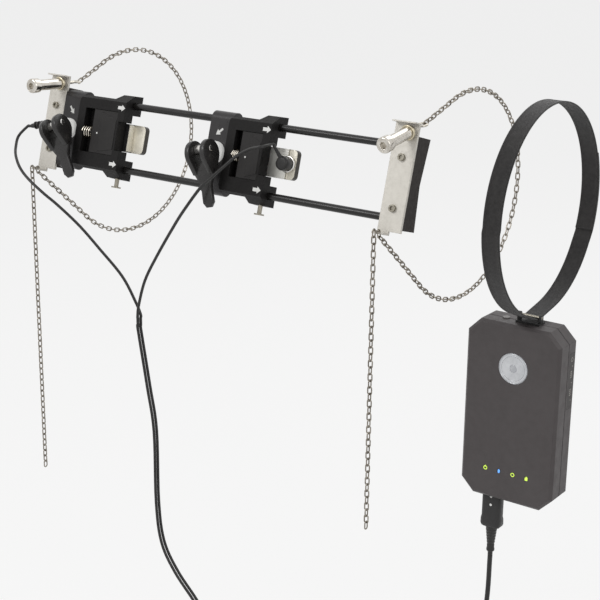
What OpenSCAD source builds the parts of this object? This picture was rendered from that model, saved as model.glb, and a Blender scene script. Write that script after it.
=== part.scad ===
// Clamp-on ultrasonic flow meter: a rail fixture with two transducer carriers,
// two tension chains, a strap with a hanging transmitter box, and its cables.
// X runs along the clamped cylinder, Z is up, and the front faces -Y.

/* [Seat] */
// Radius of the cylinder that the feet, chains and strap go round
seat_r = 109.55; // [104:0.05:116]
// Angle by which the fixture sits above the horizontal
fixture_tilt = 16; // [0:1:30]

/* [Rails] */
// Diameter of a rail
rail_d = 8; // [7:0.5:9]
// Height of the rail axes over the seat
rail_rise = 15.45; // [15:0.05:17]
// Distance of each rail from the middle plane
rail_u = 36.5; // [35:0.5:38]
// Depth of a rail's end in its foot
rail_in = 22; // [12:1:25]

/* [End plates] */
// Distance of each end plate's middle from the origin
plate_x = 238.6; // [232:0.1:260]
// Width of an end plate
plate_w = 27; // [25:0.5:30]
// Sheet thickness of an end plate
plate_t = 3; // [2.5:0.1:3.5]
// Distance from the middle plane to the plate's lower edge
plate_low = 50; // [49:0.5:52]
// Distance from the middle plane to the plate's upper edge
plate_high = 60; // [59:0.5:63]
// Height of the outward flange at the upper edge
plate_flange = 11; // [6:0.5:13]
// Thickness of the upper flange
plate_flange_t = 1.5; // [1:0.1:2]

/* [Feet] */
// Half height of a foot
foot_u = 47; // [46:0.5:49]
// Thickness of the foot in front of the rail axes
foot_wall = 5; // [4.8:0.1:6]
// Half angle of the V that rests on the seat
foot_v = 6.2; // [4:0.2:8]
// Thickness of a rubber pad
pad_t = 1.5; // [1:0.1:2]
// Width of a rubber pad
pad_w = 18; // [10:1:20]

/* [Tensioners] */
// Lean of the left draw rod from the plate's normal
left_lean = 13; // [8:1:26]
// Lean of the right draw rod from the plate's normal
right_lean = 24; // [8:1:26]
// Diameter of a draw rod
rod_d = 4; // [3:0.5:4.5]
// Inner radius of the rod's eye
eye_in = 3.5; // [3.3:0.1:4]
// Wire thickness of the eye
eye_wire = 2.5; // [2:0.1:2.6]
// Distance of the eye's middle behind the ball seat
eye_back = 24; // [20:0.5:28]
// Length of a tension nut in front of the ball seat
nut_len = 48.5; // [42:0.5:55]
// Diameter of the nut's barrel
nut_d = 12.5; // [11:0.5:14]
// Diameter of the nut's flange and knob
nut_flange_d = 14.5; // [14:0.5:16]

/* [Chains] */
// Wire thickness of a chain link
link_wire = 1.4; // [1.2:0.1:1.5]
// Inner length of a link
link_in = 7.4; // [7:0.1:8]
// Inner width of a link
link_w_in = 3.2; // [3.1:0.1:3.4]
// Number of links in the left hanging tail
left_tail_links = 53; // [20:1:60]
// Number of links in the right hanging tail
right_tail_links = 45; // [20:1:60]
// Distance by which a loop bows out along X
chain_bow = 9; // [0:1:12]

/* [Carriers] */
// Place of the left carrier's right face
left_carrier_x = -124.5; // [-126:0.5:-120]
// Place of the right carrier's right face
right_carrier_x = 81; // [70:0.5:100]
// Length of the left carrier's body
left_body_len = 70.5; // [65:0.5:71]
// Length of the right carrier's body
right_body_len = 57; // [54:0.5:65]
// Length of a lever mount
mount_len = 29.5; // [28:0.5:30]
// Height of a carrier's face over the rail axes
carrier_rise = 15; // [14.5:0.5:16]
// Thickness of a carrier's bridge
carrier_t = 14; // [13:0.5:15]
// Half height of a carrier's face
carrier_u = 40; // [39:0.5:41]
// Length of the rail guides at a carrier's right end
guide_len = 23; // [20:0.5:26]
// Height of a lever mount's face over the rail axes
mount_rise = 9; // [8.5:0.5:10]
// Thickness of a lever mount's bridge
mount_t = 6; // [4:0.5:6.5]

/* [Latches] */
// Length of the left latch spring
left_spring_len = 13.5; // [13:0.5:16]
// Length of the right latch spring
right_spring_len = 9; // [9:0.5:12]
// Outer diameter of a latch spring
spring_d = 12; // [10:0.5:12]
// Wire thickness of a latch spring
spring_wire = 1.3; // [1:0.1:1.3]
// Curls in a latch spring
spring_curls = 3.5; // [3:0.5:3.5]

/* [Cam levers] */
// Radius of a lever's cheeks
cheek_r = 14; // [12:0.5:14.5]
// Thickness of a cheek
cheek_t = 5; // [4:0.5:5]
// Half of the gap between the cheeks
cheek_gap = 7; // [6:0.5:7]
// Eccentricity of the cheeks to their pin
cheek_off = 4; // [2:0.5:4]
// Length of a lever from its pin
lever_len = 62; // [50:1:66]
// Width of a lever's handle
lever_w = 14; // [10:0.5:16]
// Inward lean of a closed lever
lever_lean = 11; // [8:1:12]
// Swivel of the left lever
left_swivel = 26; // [18:1:30]
// Swivel of the right lever
right_swivel = 14; // [8:1:18]
// Diameter of the cam pin
cam_pin_d = 6; // [4:0.5:6.5]
// Diameter of a pressure disc
disc_d = 24; // [20:0.5:26]
// Thickness of a pressure disc
disc_t = 9; // [8:0.5:10]

/* [Transducers] */
// Length of a transducer's base
base_len = 105; // [98:1:108]
// Half width of a transducer
base_u = 16; // [13:0.5:16]
// Thickness of a transducer's base
base_t = 7; // [5:0.5:8]
// Height of a transducer's shell over its base
shell_t = 8.5; // [6:0.5:8.8]
// Length of the left base beyond its carrier
left_base_out = 14.5; // [10:0.5:20]
// Length of the right base beyond its carrier
right_base_out = 22; // [20:0.5:28]
// Diameter of the right transducer's round plug
round_plug_d = 15; // [13:0.5:16]

/* [Box] */
// Width of the box
box_w = 109.2; // [100:0.1:120]
// Depth of the box
box_d = 38.1; // [36:0.1:44]
// Height of the box
box_h = 200; // [180:0.5:220]
// Middle of the box along X
box_x = 328; // [320:0.5:335]
// Cut of the box's corners
box_corner = 14.7; // [8:0.1:18]
// Bevel round the box's faces
box_bevel = 3; // [1:0.5:4]
// Wall thickness of the box
box_wall = 2.5; // [2:0.1:3]
// Diameter of the round badge
badge_d = 34; // [20:1:40]
// Length of the signal plug's body
plug_len = 39; // [30:1:48]
// Length of the signal plug's boot
boot_len = 31; // [20:1:40]

/* [Strap] */
// Middle of the strap along X
strap_x = 336.5; // [330:0.5:345]
// Width of the strap
strap_w = 20; // [15:0.5:25]
// Thickness of the strap
strap_t = 1.6; // [1:0.1:2]
// Angle of the strap's drop loop in front of the lowest point
strap_drop = 7.6; // [0:0.1:12]
// Angle that the overlapped end of the strap covers
strap_lap = 45; // [20:5:90]

/* [Cables] */
// Diameter of a transducer cable
lead_d = 3.4; // [3:0.1:3.8]
// Diameter of the trunk cable
trunk_d = 5.5; // [5:0.1:6]

/* [Hidden] */
$fn = 48;

// Clearances and the overrun of cuts
over = 1;
slide_gap = 0.05;
rest_gap = 0.3;
mark_cut = 0.4;

// Radii of the fixture's layers, counted from the cylinder's axis
rail_r = seat_r + rail_rise;
foot_r = rail_r + foot_wall;
plate_face = foot_r + plate_t;
carrier_top = rail_r + carrier_rise;
carrier_low = carrier_top - carrier_t;
mount_top = rail_r + mount_rise;
mount_low = mount_top - mount_t;
base_low = seat_r + rest_gap;
base_top = base_low + base_t;

// End plate details
screw_u = [24.6, -26.5];
screw_d = 4;
screw_len = 16;
screw_head_d = 7.5;
screw_head_t = 2.6;
screw_key = 4;
screw_key_deep = 1.5;
tab_x = -plate_w / 2;
tab_w = 13;
tab_over = 2;
tab_u = plate_low + tab_over;
tab_t = 2;
tab_reach = 10;
tab_out = plate_t + tab_reach;
slot_x = tab_x + tab_w / 2;
slot_w = link_wire + 0.8;
slot_in = plate_t + 1.2;

// Foot details
tunnel_u = [-10, 9];
tunnel_low = 6;
tunnel_wall = 1;
pad_inset = 1;

// Tensioner details: the nut's ball sits in the plate's hole
rod_x = 5;
ball_hole_r = 5.5;
ball_rise = 2.2;
ball_r = sqrt(pow(ball_hole_r, 2) + pow(ball_rise, 2)) - slide_gap;
ball_u = 50.6;
ball_centre = plate_face + ball_rise;
nut_flange_z = 1.7;
nut_flange_t = 2.5;
nut_knob_len = 9;
nut_key = 7;
nut_key_deep = 4.5;
rod_in = 36;
eye_ring = eye_in + eye_wire / 2;

// Chain link sizes
link_gap = 0.2;
link_bend = (link_w_in + link_wire) / 2;
link_reach = (link_in + link_wire) / 2;
link_leg = 2 * (link_reach - link_bend);
link_hang = link_reach - link_wire - link_gap;
chain_pitch = link_in - link_gap;
chain_r = seat_r + link_w_in / 2 + link_wire + rest_gap;

// Where a chain passes the plate's tab: the upright link stands in the slot,
// the flat link lies on the tab, and the tail hangs from the flat link
stand_lean = 60;
stand_out = 9;
flat_u = -tab_u + link_wire / 2 + rest_gap / 3;
stand = [flat_u - link_hang * sin(stand_lean), foot_r + stand_out];
flat_start = stand + link_hang * [sin(stand_lean), cos(stand_lean)];
flat = flat_start + [0, link_reach];
tail_top = flat + [0, link_reach];
loop_end = stand - link_hang * [sin(stand_lean), cos(stand_lean)];

// Carrier details
body_edge_u = 1.5;
body_edge_r = 4.5;
body_corner = 9;
guide_out_u = 7.5;
guide_foot_u = 8.5;
guide_drop = 13;
guide_low = 12;
guide_in_u = 14.3;
guide_slant = 35;
rail_free = 0.6;
pocket_in = 11;
pocket_u = [-23, 27];
pocket_floor = 3;
pocket_wall = 10;
notch_len = 7.5;
notch_u = base_u + 0.5;
mount_ring_r = mount_rise;
latch_under = 0.8;
latch_dot_x = 8;
latch_dot_d = 2.2;
latch_label = 0.5;
latch_label_in = 2.5;
latch_label_x = 12;
latch_label_drop = 7;
latch_post_d = 6;
latch_post_len = 3;
spring_r = (spring_d - spring_wire) / 2;
spring_axis_r = carrier_low + pocket_floor + rest_gap + spring_d / 2;
spring_sides = 6;
rings_per_curl = 8;

// Cam lever details
post_back = 16;
stud_d = 8;
stud_flange_d = 12;
stud_flange_t = 1.7;
barrel_d = 10;
disc_low = mount_top + rest_gap;
disc_top = disc_low + disc_t;
pin_r = disc_top + rest_gap + cheek_r + cheek_off * sin(lever_lean);
web_in = 13.5;
web_t = 9;
web_len = 11;
lever_t = 6.5;
lever_tip = 5;

// Transducer details
base_corner = 5;
shell_corner = 3;
shell_back = 2.5;
left_neck_d = 7.5;
left_neck_u = 2;
left_neck_rise = 4.1;
left_neck_len = 58;
left_boot_d = 7;
left_boot_len = 28;
left_boot_turn = 12;
left_boot_end_d = 5.5;
rib_d = 9;
rib_t = 1.5;
rib_step = 4;
rib_count = 3;
neck_in = 15;
plate_back = 11;
connector_t = 2;
round_plug_back = 9;
round_plug_h = 13.5;
round_collar_d = 18;
round_collar_t = 1.5;
outlet_d = 6;
outlet_len = 10;
outlet_rise = 7;
outlet_turn = 25;
outlet_tip = 35;

// Thumbscrew details
lock_back = 8.5;
lock_d = 5;
lock_head_d = 11;
lock_head_t = 1.5;
lock_out = 58;

// Strap, hanger and the box's place
hanger_pin_d = 3.2;
ear_round = 3.2;
ear_clear = 0.4;
ear_t = 2.5;
ear_gap = 1;
hanger_base_t = 2;
hanger_base_y = 14;
pin_drop = seat_r + ear_clear + ear_round;
pin_y = -pin_drop * sin(strap_drop);
pin_z = -pin_drop * cos(strap_drop);
box_gap = 7.35;
box_top = pin_z - box_gap;
box_floor = box_top - box_h;
hanger_x = strap_x - box_x;
loop_r = hanger_pin_d / 2 + rest_gap;
strap_spread = acos((seat_r - loop_r) / pin_drop);
lap_start = 60;

// Box details, with places counted from the middle of its top face
seam_t = 1;
seam_in = 0.8;
boss_d = 7;
boss_in = 9;
boss_end = 3;
box_screw_d = 3;
box_screw_head_d = 5.5;
box_screw_head_t = 2;
board_t = 1.6;
board_margin = 8;
board_low = 12;
board_stand = 4;
board_stand_d = 5;
pack_w = 62;
pack_h = 96;
pack_t = 11;
pack_top = 40;
light_x = [-24.6, -8.2, 8.2, 24.4];
light_rise = 33.5;
light_z = light_rise - box_h;
light_d = 5;
light_lip = 0.3;
light_len = 4;
badge_x = 1.5;
badge_z = -47.5;
badge_deep = 1;
badge_t = 0.8;
button_x = -19;
button_d = 8;
button_proud = 1.2;
button_len = 7;
button_skirt = 1.2;
door_y = 2.5;
door_w = 13;
door_top = -26;
door_h = 62;
door_t = 1.2;
plug_x = -23;
socket_d = 20;
socket_out = 3;
socket_in = 7;
plug_w = 22;
plug_depth = 14;
plug_corner = 4;
plug_button_w = 8;
plug_button_h = 14;
plug_button_t = 1;
boot_top_d = 13;
boot_end_d = 7.5;
boot_z = box_floor - socket_out - rest_gap - plug_len;
trunk_z = boot_z - boot_len;

// Cable routes. The first points lie on the exit that the cable leaves.
lead_side = 5;
joint_len = 36;
joint_w = 14;
joint_h = 9;
joint_round = 4;
joint_at = [110, -142.5, -630];
left_route = [[-297, -128, 18], [-291, -139, 8], [-278, -152, 0], [-259, -164, -10],
  [-239, -170, -20], [-216, -170, -33], [-196, -166, -46], [-169, -160, -67], [-142, -156, -91],
  [-112, -152, -119], [-94, -150, -147], [-87, -150, -160], [-87, -150, -164.5],
  [-87, -150, -169]];
right_route = [[86, -147, 56], [74, -152, 53], [62, -157, 46], [51, -162, 36], [35, -169, 20],
  [21, -171, 7], [0, -172, -19], [-18, -168, -40], [-48, -163, -80], [-70, -160, -114],
  [-83, -157, -146], [-87, -155, -160], [-87, -155, -164.5], [-87, -155, -169]];
pair_route = [[-87, -150, -169], [-87, -150, -173.5], [-87, -150, -178], [-75, -150, -244],
  [-66, -150, -298], [-65, -150, -387], [-58, -150, -437], [-38, -150, -470], [-8, -150, -500],
  [25, -148, -540], [52, -144, -590], [76, -141, -621], [95, -140, -630], [102.5, -140, -630],
  [110, -140, -630]];
trunk_route = [[304, -15, -456], [300, -22, -515], [286, -45, -565], [255, -82, -602],
  [215, -118, -622], [178, -141, -630], [161, -142.5, -630], [153.5, -142.5, -630],
  [146, -142.5, -630]];

// Colours
steel = [0.78, 0.77, 0.73];
bright_steel = [0.86, 0.85, 0.80];
aluminium = [0.83, 0.82, 0.80];
black_plastic = [0.13, 0.13, 0.14];
black_metal = [0.2, 0.2, 0.22];
black_rubber = [0.08, 0.08, 0.08];
white_plastic = [0.93, 0.93, 0.92];

// The fixture's frame: x along the rails, y up the plates, z out from the seat
module on_fixture() { rotate([90 - fixture_tilt, 0, 0]) children(); }

// A point of the fixture's frame in the object's frame
function from_fixture(p) = [p[0], p[1] * sin(fixture_tilt) - p[2] * cos(fixture_tilt),
  p[1] * cos(fixture_tilt) + p[2] * sin(fixture_tilt)];

// An outline drawn as (height, distance from the axis), run along X
module along_x(start, len) {
  translate([start, 0, 0]) rotate([90, 0, 90]) linear_extrude(height = len) children();
}

// A rod along X, from start
module x_rod(start, len, r, fn = 48) {
  translate([start, 0, 0]) rotate([0, 90, 0]) cylinder(h = len, r = r, $fn = fn);
}

// A rod along Y, from start
module y_rod(start, len, r, fn = 48) {
  translate([0, start, 0]) rotate([-90, 0, 0]) cylinder(h = len, r = r, $fn = fn);
}

// A plate with round corners, from low to low + t
module round_plate(x0, x1, u, low, t, corner) {
  translate([x0, -u + corner, low]) cube([x1 - x0, 2 * (u - corner), t]);
  translate([x0 + corner, -u, low]) cube([x1 - x0 - 2 * corner, 2 * u, t]);
  for (x = [x0 + corner, x1 - corner], y = [-u + corner, u - corner])
    translate([x, y, low]) cylinder(h = t, r = corner);
}

function is_left(s) = s < 0;
function carrier_x(s) = is_left(s) ? left_carrier_x : right_carrier_x;
function body_len(s) = is_left(s) ? left_body_len : right_body_len;
function spring_len(s) = is_left(s) ? left_spring_len : right_spring_len;
function swivel(s) = is_left(s) ? left_swivel : right_swivel;
function lean(s) = is_left(s) ? left_lean : right_lean;
function base_end(s) = carrier_x(s) + (is_left(s) ? left_base_out : right_base_out);
function base_start(s) = base_end(s) - base_len;
function post_x(s) = carrier_x(s) - body_len(s) - post_back;
function tail_links(s) = is_left(s) ? left_tail_links : right_tail_links;

// Distance of a foot's V from the axis, at a height u
function v_at(u) = (seat_r + pad_t) / cos(foot_v) - abs(u) * tan(foot_v);

module end_plate(s) {
  color(aluminium) on_fixture() translate([s * plate_x, 0, foot_r]) difference() {
    union() {
      along_x(-plate_w / 2, plate_w)
        polygon([[-plate_low, 0], [plate_high, 0], [plate_high, plate_flange],
          [plate_high - plate_flange_t, plate_flange], [plate_high - plate_flange_t, plate_t],
          [-plate_low, plate_t]]);
      along_x(tab_x, tab_w)
        polygon([[-plate_low + over, 0], [-plate_low + over, plate_t], [-tab_u, plate_t],
          [-tab_u, tab_out], [-tab_u - tab_t, tab_out], [-tab_u - tab_t, 0]]);
    }
    translate([rod_x, ball_u, -over]) cylinder(h = plate_t + 2 * over, r = ball_hole_r);
    for (u = screw_u)
      translate([0, u, -over]) cylinder(h = plate_t + 2 * over, r = screw_d / 2 + rest_gap / 2);
    translate([slot_x - slot_w / 2, -tab_u - tab_t - over, slot_in])
      cube([slot_w, tab_t + 2 * over, tab_out]);
  }
}

module foot(s) {
  color(black_plastic) on_fixture() translate([s * plate_x, 0, 0]) difference() {
    along_x(-plate_w / 2, plate_w)
      polygon([[-foot_u, foot_r], [foot_u, foot_r], [foot_u, v_at(foot_u)], [0, v_at(0)],
        [-foot_u, v_at(foot_u)]]);
    for (u = [-rail_u, rail_u]) translate([-s * (plate_w / 2 - rail_in / 2 + over / 2), u, rail_r])
      x_rod(-(rail_in + over) / 2, rail_in + over, rail_d / 2 + slide_gap);
    for (u = screw_u) translate([0, u, foot_r - screw_len])
      cylinder(h = screw_len + over, r = screw_d / 2 + slide_gap);
    if (is_left(s))
      translate([-plate_w / 2 - over, tunnel_u[0], seat_r + tunnel_low])
        cube([plate_w + 2 * over, tunnel_u[1] - tunnel_u[0], foot_r - tunnel_wall - seat_r - tunnel_low]);
  }
}

module foot_pads() {
  color(black_rubber) on_fixture() for (s = [-1, 1], v = [-1, 1])
    translate([s * plate_x, 0, 0]) rotate([v * foot_v, 0, 0])
      translate([-plate_w / 2 + pad_inset, -pad_w / 2, seat_r])
        cube([plate_w - 2 * pad_inset, pad_w, pad_t]);
}

module rail(u) {
  half = plate_x - plate_w / 2 + rail_in - rest_gap;
  color(black_metal) on_fixture() translate([0, u, rail_r]) x_rod(-half, 2 * half, rail_d / 2);
}

module plate_screws() {
  color(steel) on_fixture() for (s = [-1, 1], u = screw_u) translate([s * plate_x, u, plate_face])
    difference() {
      union() {
        cylinder(h = screw_head_t, r = screw_head_d / 2);
        translate([0, 0, rest_gap - plate_t - screw_len]) cylinder(h = plate_t + screw_len, r = screw_d / 2);
      }
      translate([0, 0, screw_head_t - screw_key_deep])
        cylinder(h = screw_key_deep + over, r = screw_key / 2 / cos(30), $fn = 6);
    }
}

// A tensioner's frame: z out along the draw rod, from the middle of the ball seat
module on_tensioner(s) {
  on_fixture() translate([s * plate_x + rod_x, ball_u, ball_centre]) rotate([lean(s), 0, 0]) children();
}

module draw_rod(s) {
  color(steel) on_tensioner(s) {
    translate([0, 0, eye_ring - eye_back]) cylinder(h = rod_in + eye_back - eye_ring, r = rod_d / 2);
    translate([0, 0, -eye_back]) rotate([90, 0, 0])
      rotate_extrude() translate([eye_ring, 0]) circle(r = eye_wire / 2, $fn = 24);
  }
}

module tension_nut(s) {
  color(bright_steel) on_tensioner(s) difference() {
    union() {
      intersection() {
        sphere(r = ball_r);
        translate([-ball_r, -ball_r, -ball_r]) cube([2 * ball_r, 2 * ball_r, ball_r + nut_flange_z + over]);
      }
      translate([0, 0, nut_flange_z]) cylinder(h = nut_flange_t, r = nut_flange_d / 2);
      translate([0, 0, nut_flange_z]) cylinder(h = nut_len - nut_flange_z - over, r = nut_d / 2);
      translate([0, 0, nut_len - nut_knob_len]) cylinder(h = nut_knob_len, r = nut_flange_d / 2);
    }
    translate([0, 0, -2 * ball_r]) cylinder(h = 2 * ball_r + rod_in + over, r = rod_d / 2 + slide_gap);
    translate([0, 0, nut_len - nut_key_deep])
      cylinder(h = nut_key_deep + over, r = nut_key / 2 / cos(30), $fn = 6);
  }
}

// One chain link with its long side along Y, lying in the XY plane
module chain_link() {
  for (e = [-1, 1]) {
    translate([0, e * link_leg / 2, 0]) rotate([0, 0, e < 0 ? 180 : 0]) rotate_extrude(angle = 180)
      translate([link_bend, 0]) circle(r = link_wire / 2, $fn = 24);
    translate([e * link_bend, 0, 0]) y_rod(-link_leg / 2, link_leg, link_wire / 2, 24);
  }
}

// A link in the plane that stands across X, or flat along X
module turned_link(standing) { rotate([0, standing ? 90 : 0, 0]) chain_link(); }

// The loop's route in the plane across X, from the eye's wire round the back to the tab
function eye_at(s) = [ball_u, ball_centre] + (eye_back + eye_ring) * [sin(lean(s)), -cos(lean(s))];
function polar_r(p) = norm(p);
function polar_a(p) = atan2(p[0], p[1]);
function leave_a(s) = polar_a(eye_at(s)) + acos(chain_r / polar_r(eye_at(s)));
function meet_a() = 360 + polar_a(loop_end) - acos(chain_r / polar_r(loop_end));
function first_run(s) = sqrt(pow(polar_r(eye_at(s)), 2) - pow(chain_r, 2))
  + eye_wire / 2 + link_gap + link_wire / 2;
function arc_run(s) = chain_r * (meet_a() - leave_a(s)) * PI / 180;
function last_run() = sqrt(pow(polar_r(loop_end), 2) - pow(chain_r, 2));
function loop_run(s) = first_run(s) + arc_run(s) + last_run();
function on_circle(a) = chain_r * [sin(a), cos(a)];
function heading(a) = [cos(a), -sin(a)];
// Height, distance from the axis and turn of the route after a run of d
function loop_point(s, d) =
  d < first_run(s) ? concat(on_circle(leave_a(s)) - (first_run(s) - d) * heading(leave_a(s)), [leave_a(s)]) :
  d > first_run(s) + arc_run(s) ?
    concat(on_circle(meet_a()) + (d - first_run(s) - arc_run(s)) * heading(meet_a()), [meet_a()]) :
  concat(on_circle(leave_a(s) + (d - first_run(s)) / chain_r * 180 / PI),
    [leave_a(s) + (d - first_run(s)) / chain_r * 180 / PI]);
function loop_bow(t) = rod_x * (1 - t) + slot_x * t + 4 * chain_bow * t * (1 - t);
function loop_slope(t, run) = (slot_x - rod_x + 4 * chain_bow * (1 - 2 * t)) / run;
function loop_links(s) = 2 * round((1 + (loop_run(s) - 2 * link_reach) / chain_pitch) / 2);

module chain_loop(s) {
  run = loop_run(s);
  count = loop_links(s);
  pitch = (run - 2 * link_reach) / (count - 1);
  color(steel) on_fixture() translate([s * plate_x, 0, 0]) {
    for (i = [0 : count - 1]) {
      d = link_reach + i * pitch;
      p = loop_point(s, d);
      translate([loop_bow(d / run), p[0], p[1]]) rotate([-p[2], 0, 0])
        rotate([0, 0, -atan(loop_slope(d / run, run))]) turned_link(i % 2 == 0);
    }
    translate([slot_x, stand[0], stand[1]]) rotate([90 - stand_lean, 0, 0]) turned_link(true);
    translate([slot_x, flat[0], flat[1]]) rotate([90, 0, 0]) turned_link(false);
  }
}

// The point that a tail swings about
function tail_pivot(s) = from_fixture([s * plate_x + slot_x, tail_top[0], tail_top[1]]);

module chain_tail(s) {
  color(steel) translate(tail_pivot(s)) for (i = [0 : tail_links(s) - 1])
    translate([0, 0, -link_hang - i * chain_pitch]) rotate([90, 0, 0]) turned_link(i % 2 == 0);
}

// One side of a guide's outline, from the face down to its foot
function guide_side(m) = [[m * (carrier_u - body_edge_u), carrier_top],
  [m * (carrier_u + guide_out_u), carrier_top - guide_drop],
  [m * (carrier_u + guide_foot_u), rail_r - guide_low],
  [m * (carrier_u - guide_in_u + rest_gap), rail_r - guide_low],
  [m * (carrier_u - guide_in_u), carrier_low + over],
  [m * (carrier_u - guide_in_u), carrier_top]];

module carrier(s) {
  len = body_len(s);
  color(black_plastic) on_fixture() translate([carrier_x(s), 0, 0]) difference() {
    union() {
      intersection() {
        along_x(-len, len)
          polygon([[-carrier_u - body_edge_u, carrier_low], [carrier_u + body_edge_u, carrier_low],
            [carrier_u + body_edge_u, carrier_top - body_edge_r], [carrier_u - body_edge_u, carrier_top],
            [body_edge_u - carrier_u, carrier_top], [-carrier_u - body_edge_u, carrier_top - body_edge_r]]);
        round_plate(-len, 2 * body_corner, carrier_u + body_edge_u, carrier_low, carrier_t, body_corner);
      }
      for (m = [-1, 1]) difference() {
        along_x(-guide_len, guide_len) polygon(guide_side(m));
        translate([-guide_len, m * (carrier_u - body_edge_u), carrier_low])
          rotate([0, 0, m * (90 - guide_slant)]) translate([m < 0 ? -guide_len : 0, 0, -2 * carrier_t])
            cube([guide_len, guide_len, 4 * carrier_t]);
      }
    }
    for (m = [-1, 1]) translate([0, m * rail_u, rail_r]) {
      x_rod(-len - over, len + 2 * over, rail_d / 2 + slide_gap);
      translate([-len - over, -rail_d / 2 - rail_free, -rail_d])
        cube([len - guide_len + over, rail_d + 2 * rail_free, rail_d + rail_d / 2 + rail_free]);
    }
    translate([-lock_back, -rail_u, rail_r]) rotate([90, 0, 0])
      cylinder(h = guide_len, r = lock_d / 2 + slide_gap);
    translate([-len + pocket_in, pocket_u[0], carrier_low + pocket_floor])
      cube([len - pocket_in - pocket_wall, pocket_u[1] - pocket_u[0], carrier_t]);
    translate([-notch_len, -notch_u, carrier_low - over])
      cube([notch_len + over, 2 * notch_u, carrier_t + 2 * over]);
  }
}

module lever_mount(s) {
  start = -body_len(s) - mount_len;
  color(black_metal) on_fixture() translate([carrier_x(s), 0, 0]) difference() {
    union() {
      translate([start, -rail_u, mount_low]) cube([mount_len, 2 * rail_u, mount_t]);
      for (m = [-1, 1]) translate([start, m * rail_u, rail_r]) x_rod(0, mount_len, mount_ring_r);
    }
    for (m = [-1, 1]) translate([start, m * rail_u, rail_r])
      x_rod(-over, mount_len + 2 * over, rail_d / 2 + slide_gap);
    translate([-body_len(s) - post_back, 0, mount_low - over])
      cylinder(h = mount_t + 2 * over, r = stud_d / 2 + slide_gap);
  }
}

module latch_plate(s) {
  left = -body_len(s) + pocket_in + spring_len(s);
  right = -pocket_wall - rest_gap;
  low = carrier_low + pocket_floor + rest_gap;
  high = carrier_top - latch_under;
  color(black_plastic) on_fixture() translate([carrier_x(s), 0, 0]) difference() {
    union() {
      translate([left, pocket_u[0] + rest_gap, low])
        cube([right - left, pocket_u[1] - pocket_u[0] - 2 * rest_gap, high - low]);
      translate([0, 0, high - over]) linear_extrude(height = over + latch_label)
        polygon([[left + latch_label_x, pocket_u[1] - latch_label_in],
          [right - over, pocket_u[1] - latch_label_drop - latch_label_in],
          [right - over, pocket_u[0] + latch_label_drop],
          [left + latch_label_x, pocket_u[0] + latch_label_in]]);
      translate([left, 0, spring_axis_r]) x_rod(-latch_post_len, latch_post_len + over, latch_post_d / 2);
    }
    translate([left + latch_dot_x, 0, high - mark_cut]) cylinder(h = mark_cut + over, r = latch_dot_d / 2);
  }
}

// A tube through rings of points. Each ring has n points, counted round the route.
module ring_tube(rings, n) {
  last = len(rings) - 1;
  polyhedron(
    points = [for (ring = rings) each ring],
    faces = concat(
      [[for (j = [0 : n - 1]) j]],
      [for (i = [0 : last - 1], j = [0 : n - 1]) [i * n + j, (i + 1) * n + j, (i + 1) * n + (j + 1) % n]],
      [for (i = [0 : last - 1], j = [0 : n - 1])
        [i * n + j, (i + 1) * n + (j + 1) % n, i * n + (j + 1) % n]],
      [[for (j = [0 : n - 1]) last * n + n - 1 - j]]));
}

function unit(v) = v / norm(v);
// The part of v that stands square to t
function square_to(v, t) = unit(v - (v * t) * t);
function headings(pts) = [for (i = [0 : len(pts) - 1])
  unit(pts[min(i + 1, len(pts) - 1)] - pts[max(i - 1, 0)])];
// A square direction at each point, carried along without twist
function carried(t, start) = [for (i = 0, v = square_to(start, t[0]); i < len(t);
  i = i + 1, v = i < len(t) ? square_to(v, t[i]) : v) v];
function tube_rings(pts, r, n, start) =
  let (t = headings(pts), v = carried(t, start))
  [for (i = [0 : len(pts) - 1]) let (w = cross(t[i], v[i]))
    [for (j = [0 : n - 1]) pts[i] + r * (cos(j * 360 / n) * v[i] + sin(j * 360 / n) * w)]];

// A latch spring's middle line, along X from its left end
function spring_line(len) =
  let (steps = spring_curls * rings_per_curl, run = len - spring_wire - rest_gap)
  [for (i = [0 : steps]) let (a = i * 360 / rings_per_curl)
    [spring_wire / 2 + run * i / steps, spring_r * sin(a), spring_r * cos(a)]];
// The least distance between turns of a spring, less its wire
function spring_clear(len) =
  let (p = spring_line(len))
  min([for (i = [0 : len(p) - 1], j = [0 : len(p) - 1]) if (j - i > rings_per_curl / 2) norm(p[i] - p[j])])
    - spring_wire;
echo(left_spring_least_gap_mm = spring_clear(left_spring_len));
echo(right_spring_least_gap_mm = spring_clear(right_spring_len));

module latch_spring(s) {
  color(bright_steel) on_fixture()
    translate([carrier_x(s) - body_len(s) + pocket_in, 0, spring_axis_r])
      ring_tube(tube_rings(spring_line(spring_len(s)), spring_wire / 2, spring_sides, [1, 0, 0]),
        spring_sides);
}

// A lever's frame: x along the pin, y back along the handle, z out, from the stud's foot
module on_post(s) { on_fixture() translate([post_x(s), 0, 0]) rotate([0, 0, swivel(s)]) children(); }

module cam_post(s) {
  half = cheek_gap + cheek_t;
  color(bright_steel) on_post(s) {
    translate([0, 0, mount_low - rest_gap - stud_flange_t])
      cylinder(h = stud_flange_t, r = stud_flange_d / 2);
    translate([0, 0, mount_low - rest_gap - over]) cylinder(h = pin_r - mount_low, r = stud_d / 2);
    translate([0, 0, pin_r]) x_rod(rest_gap - cheek_gap, 2 * (cheek_gap - rest_gap), barrel_d / 2);
    translate([0, 0, pin_r]) x_rod(-half, 2 * half, cam_pin_d / 2);
  }
}

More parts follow.
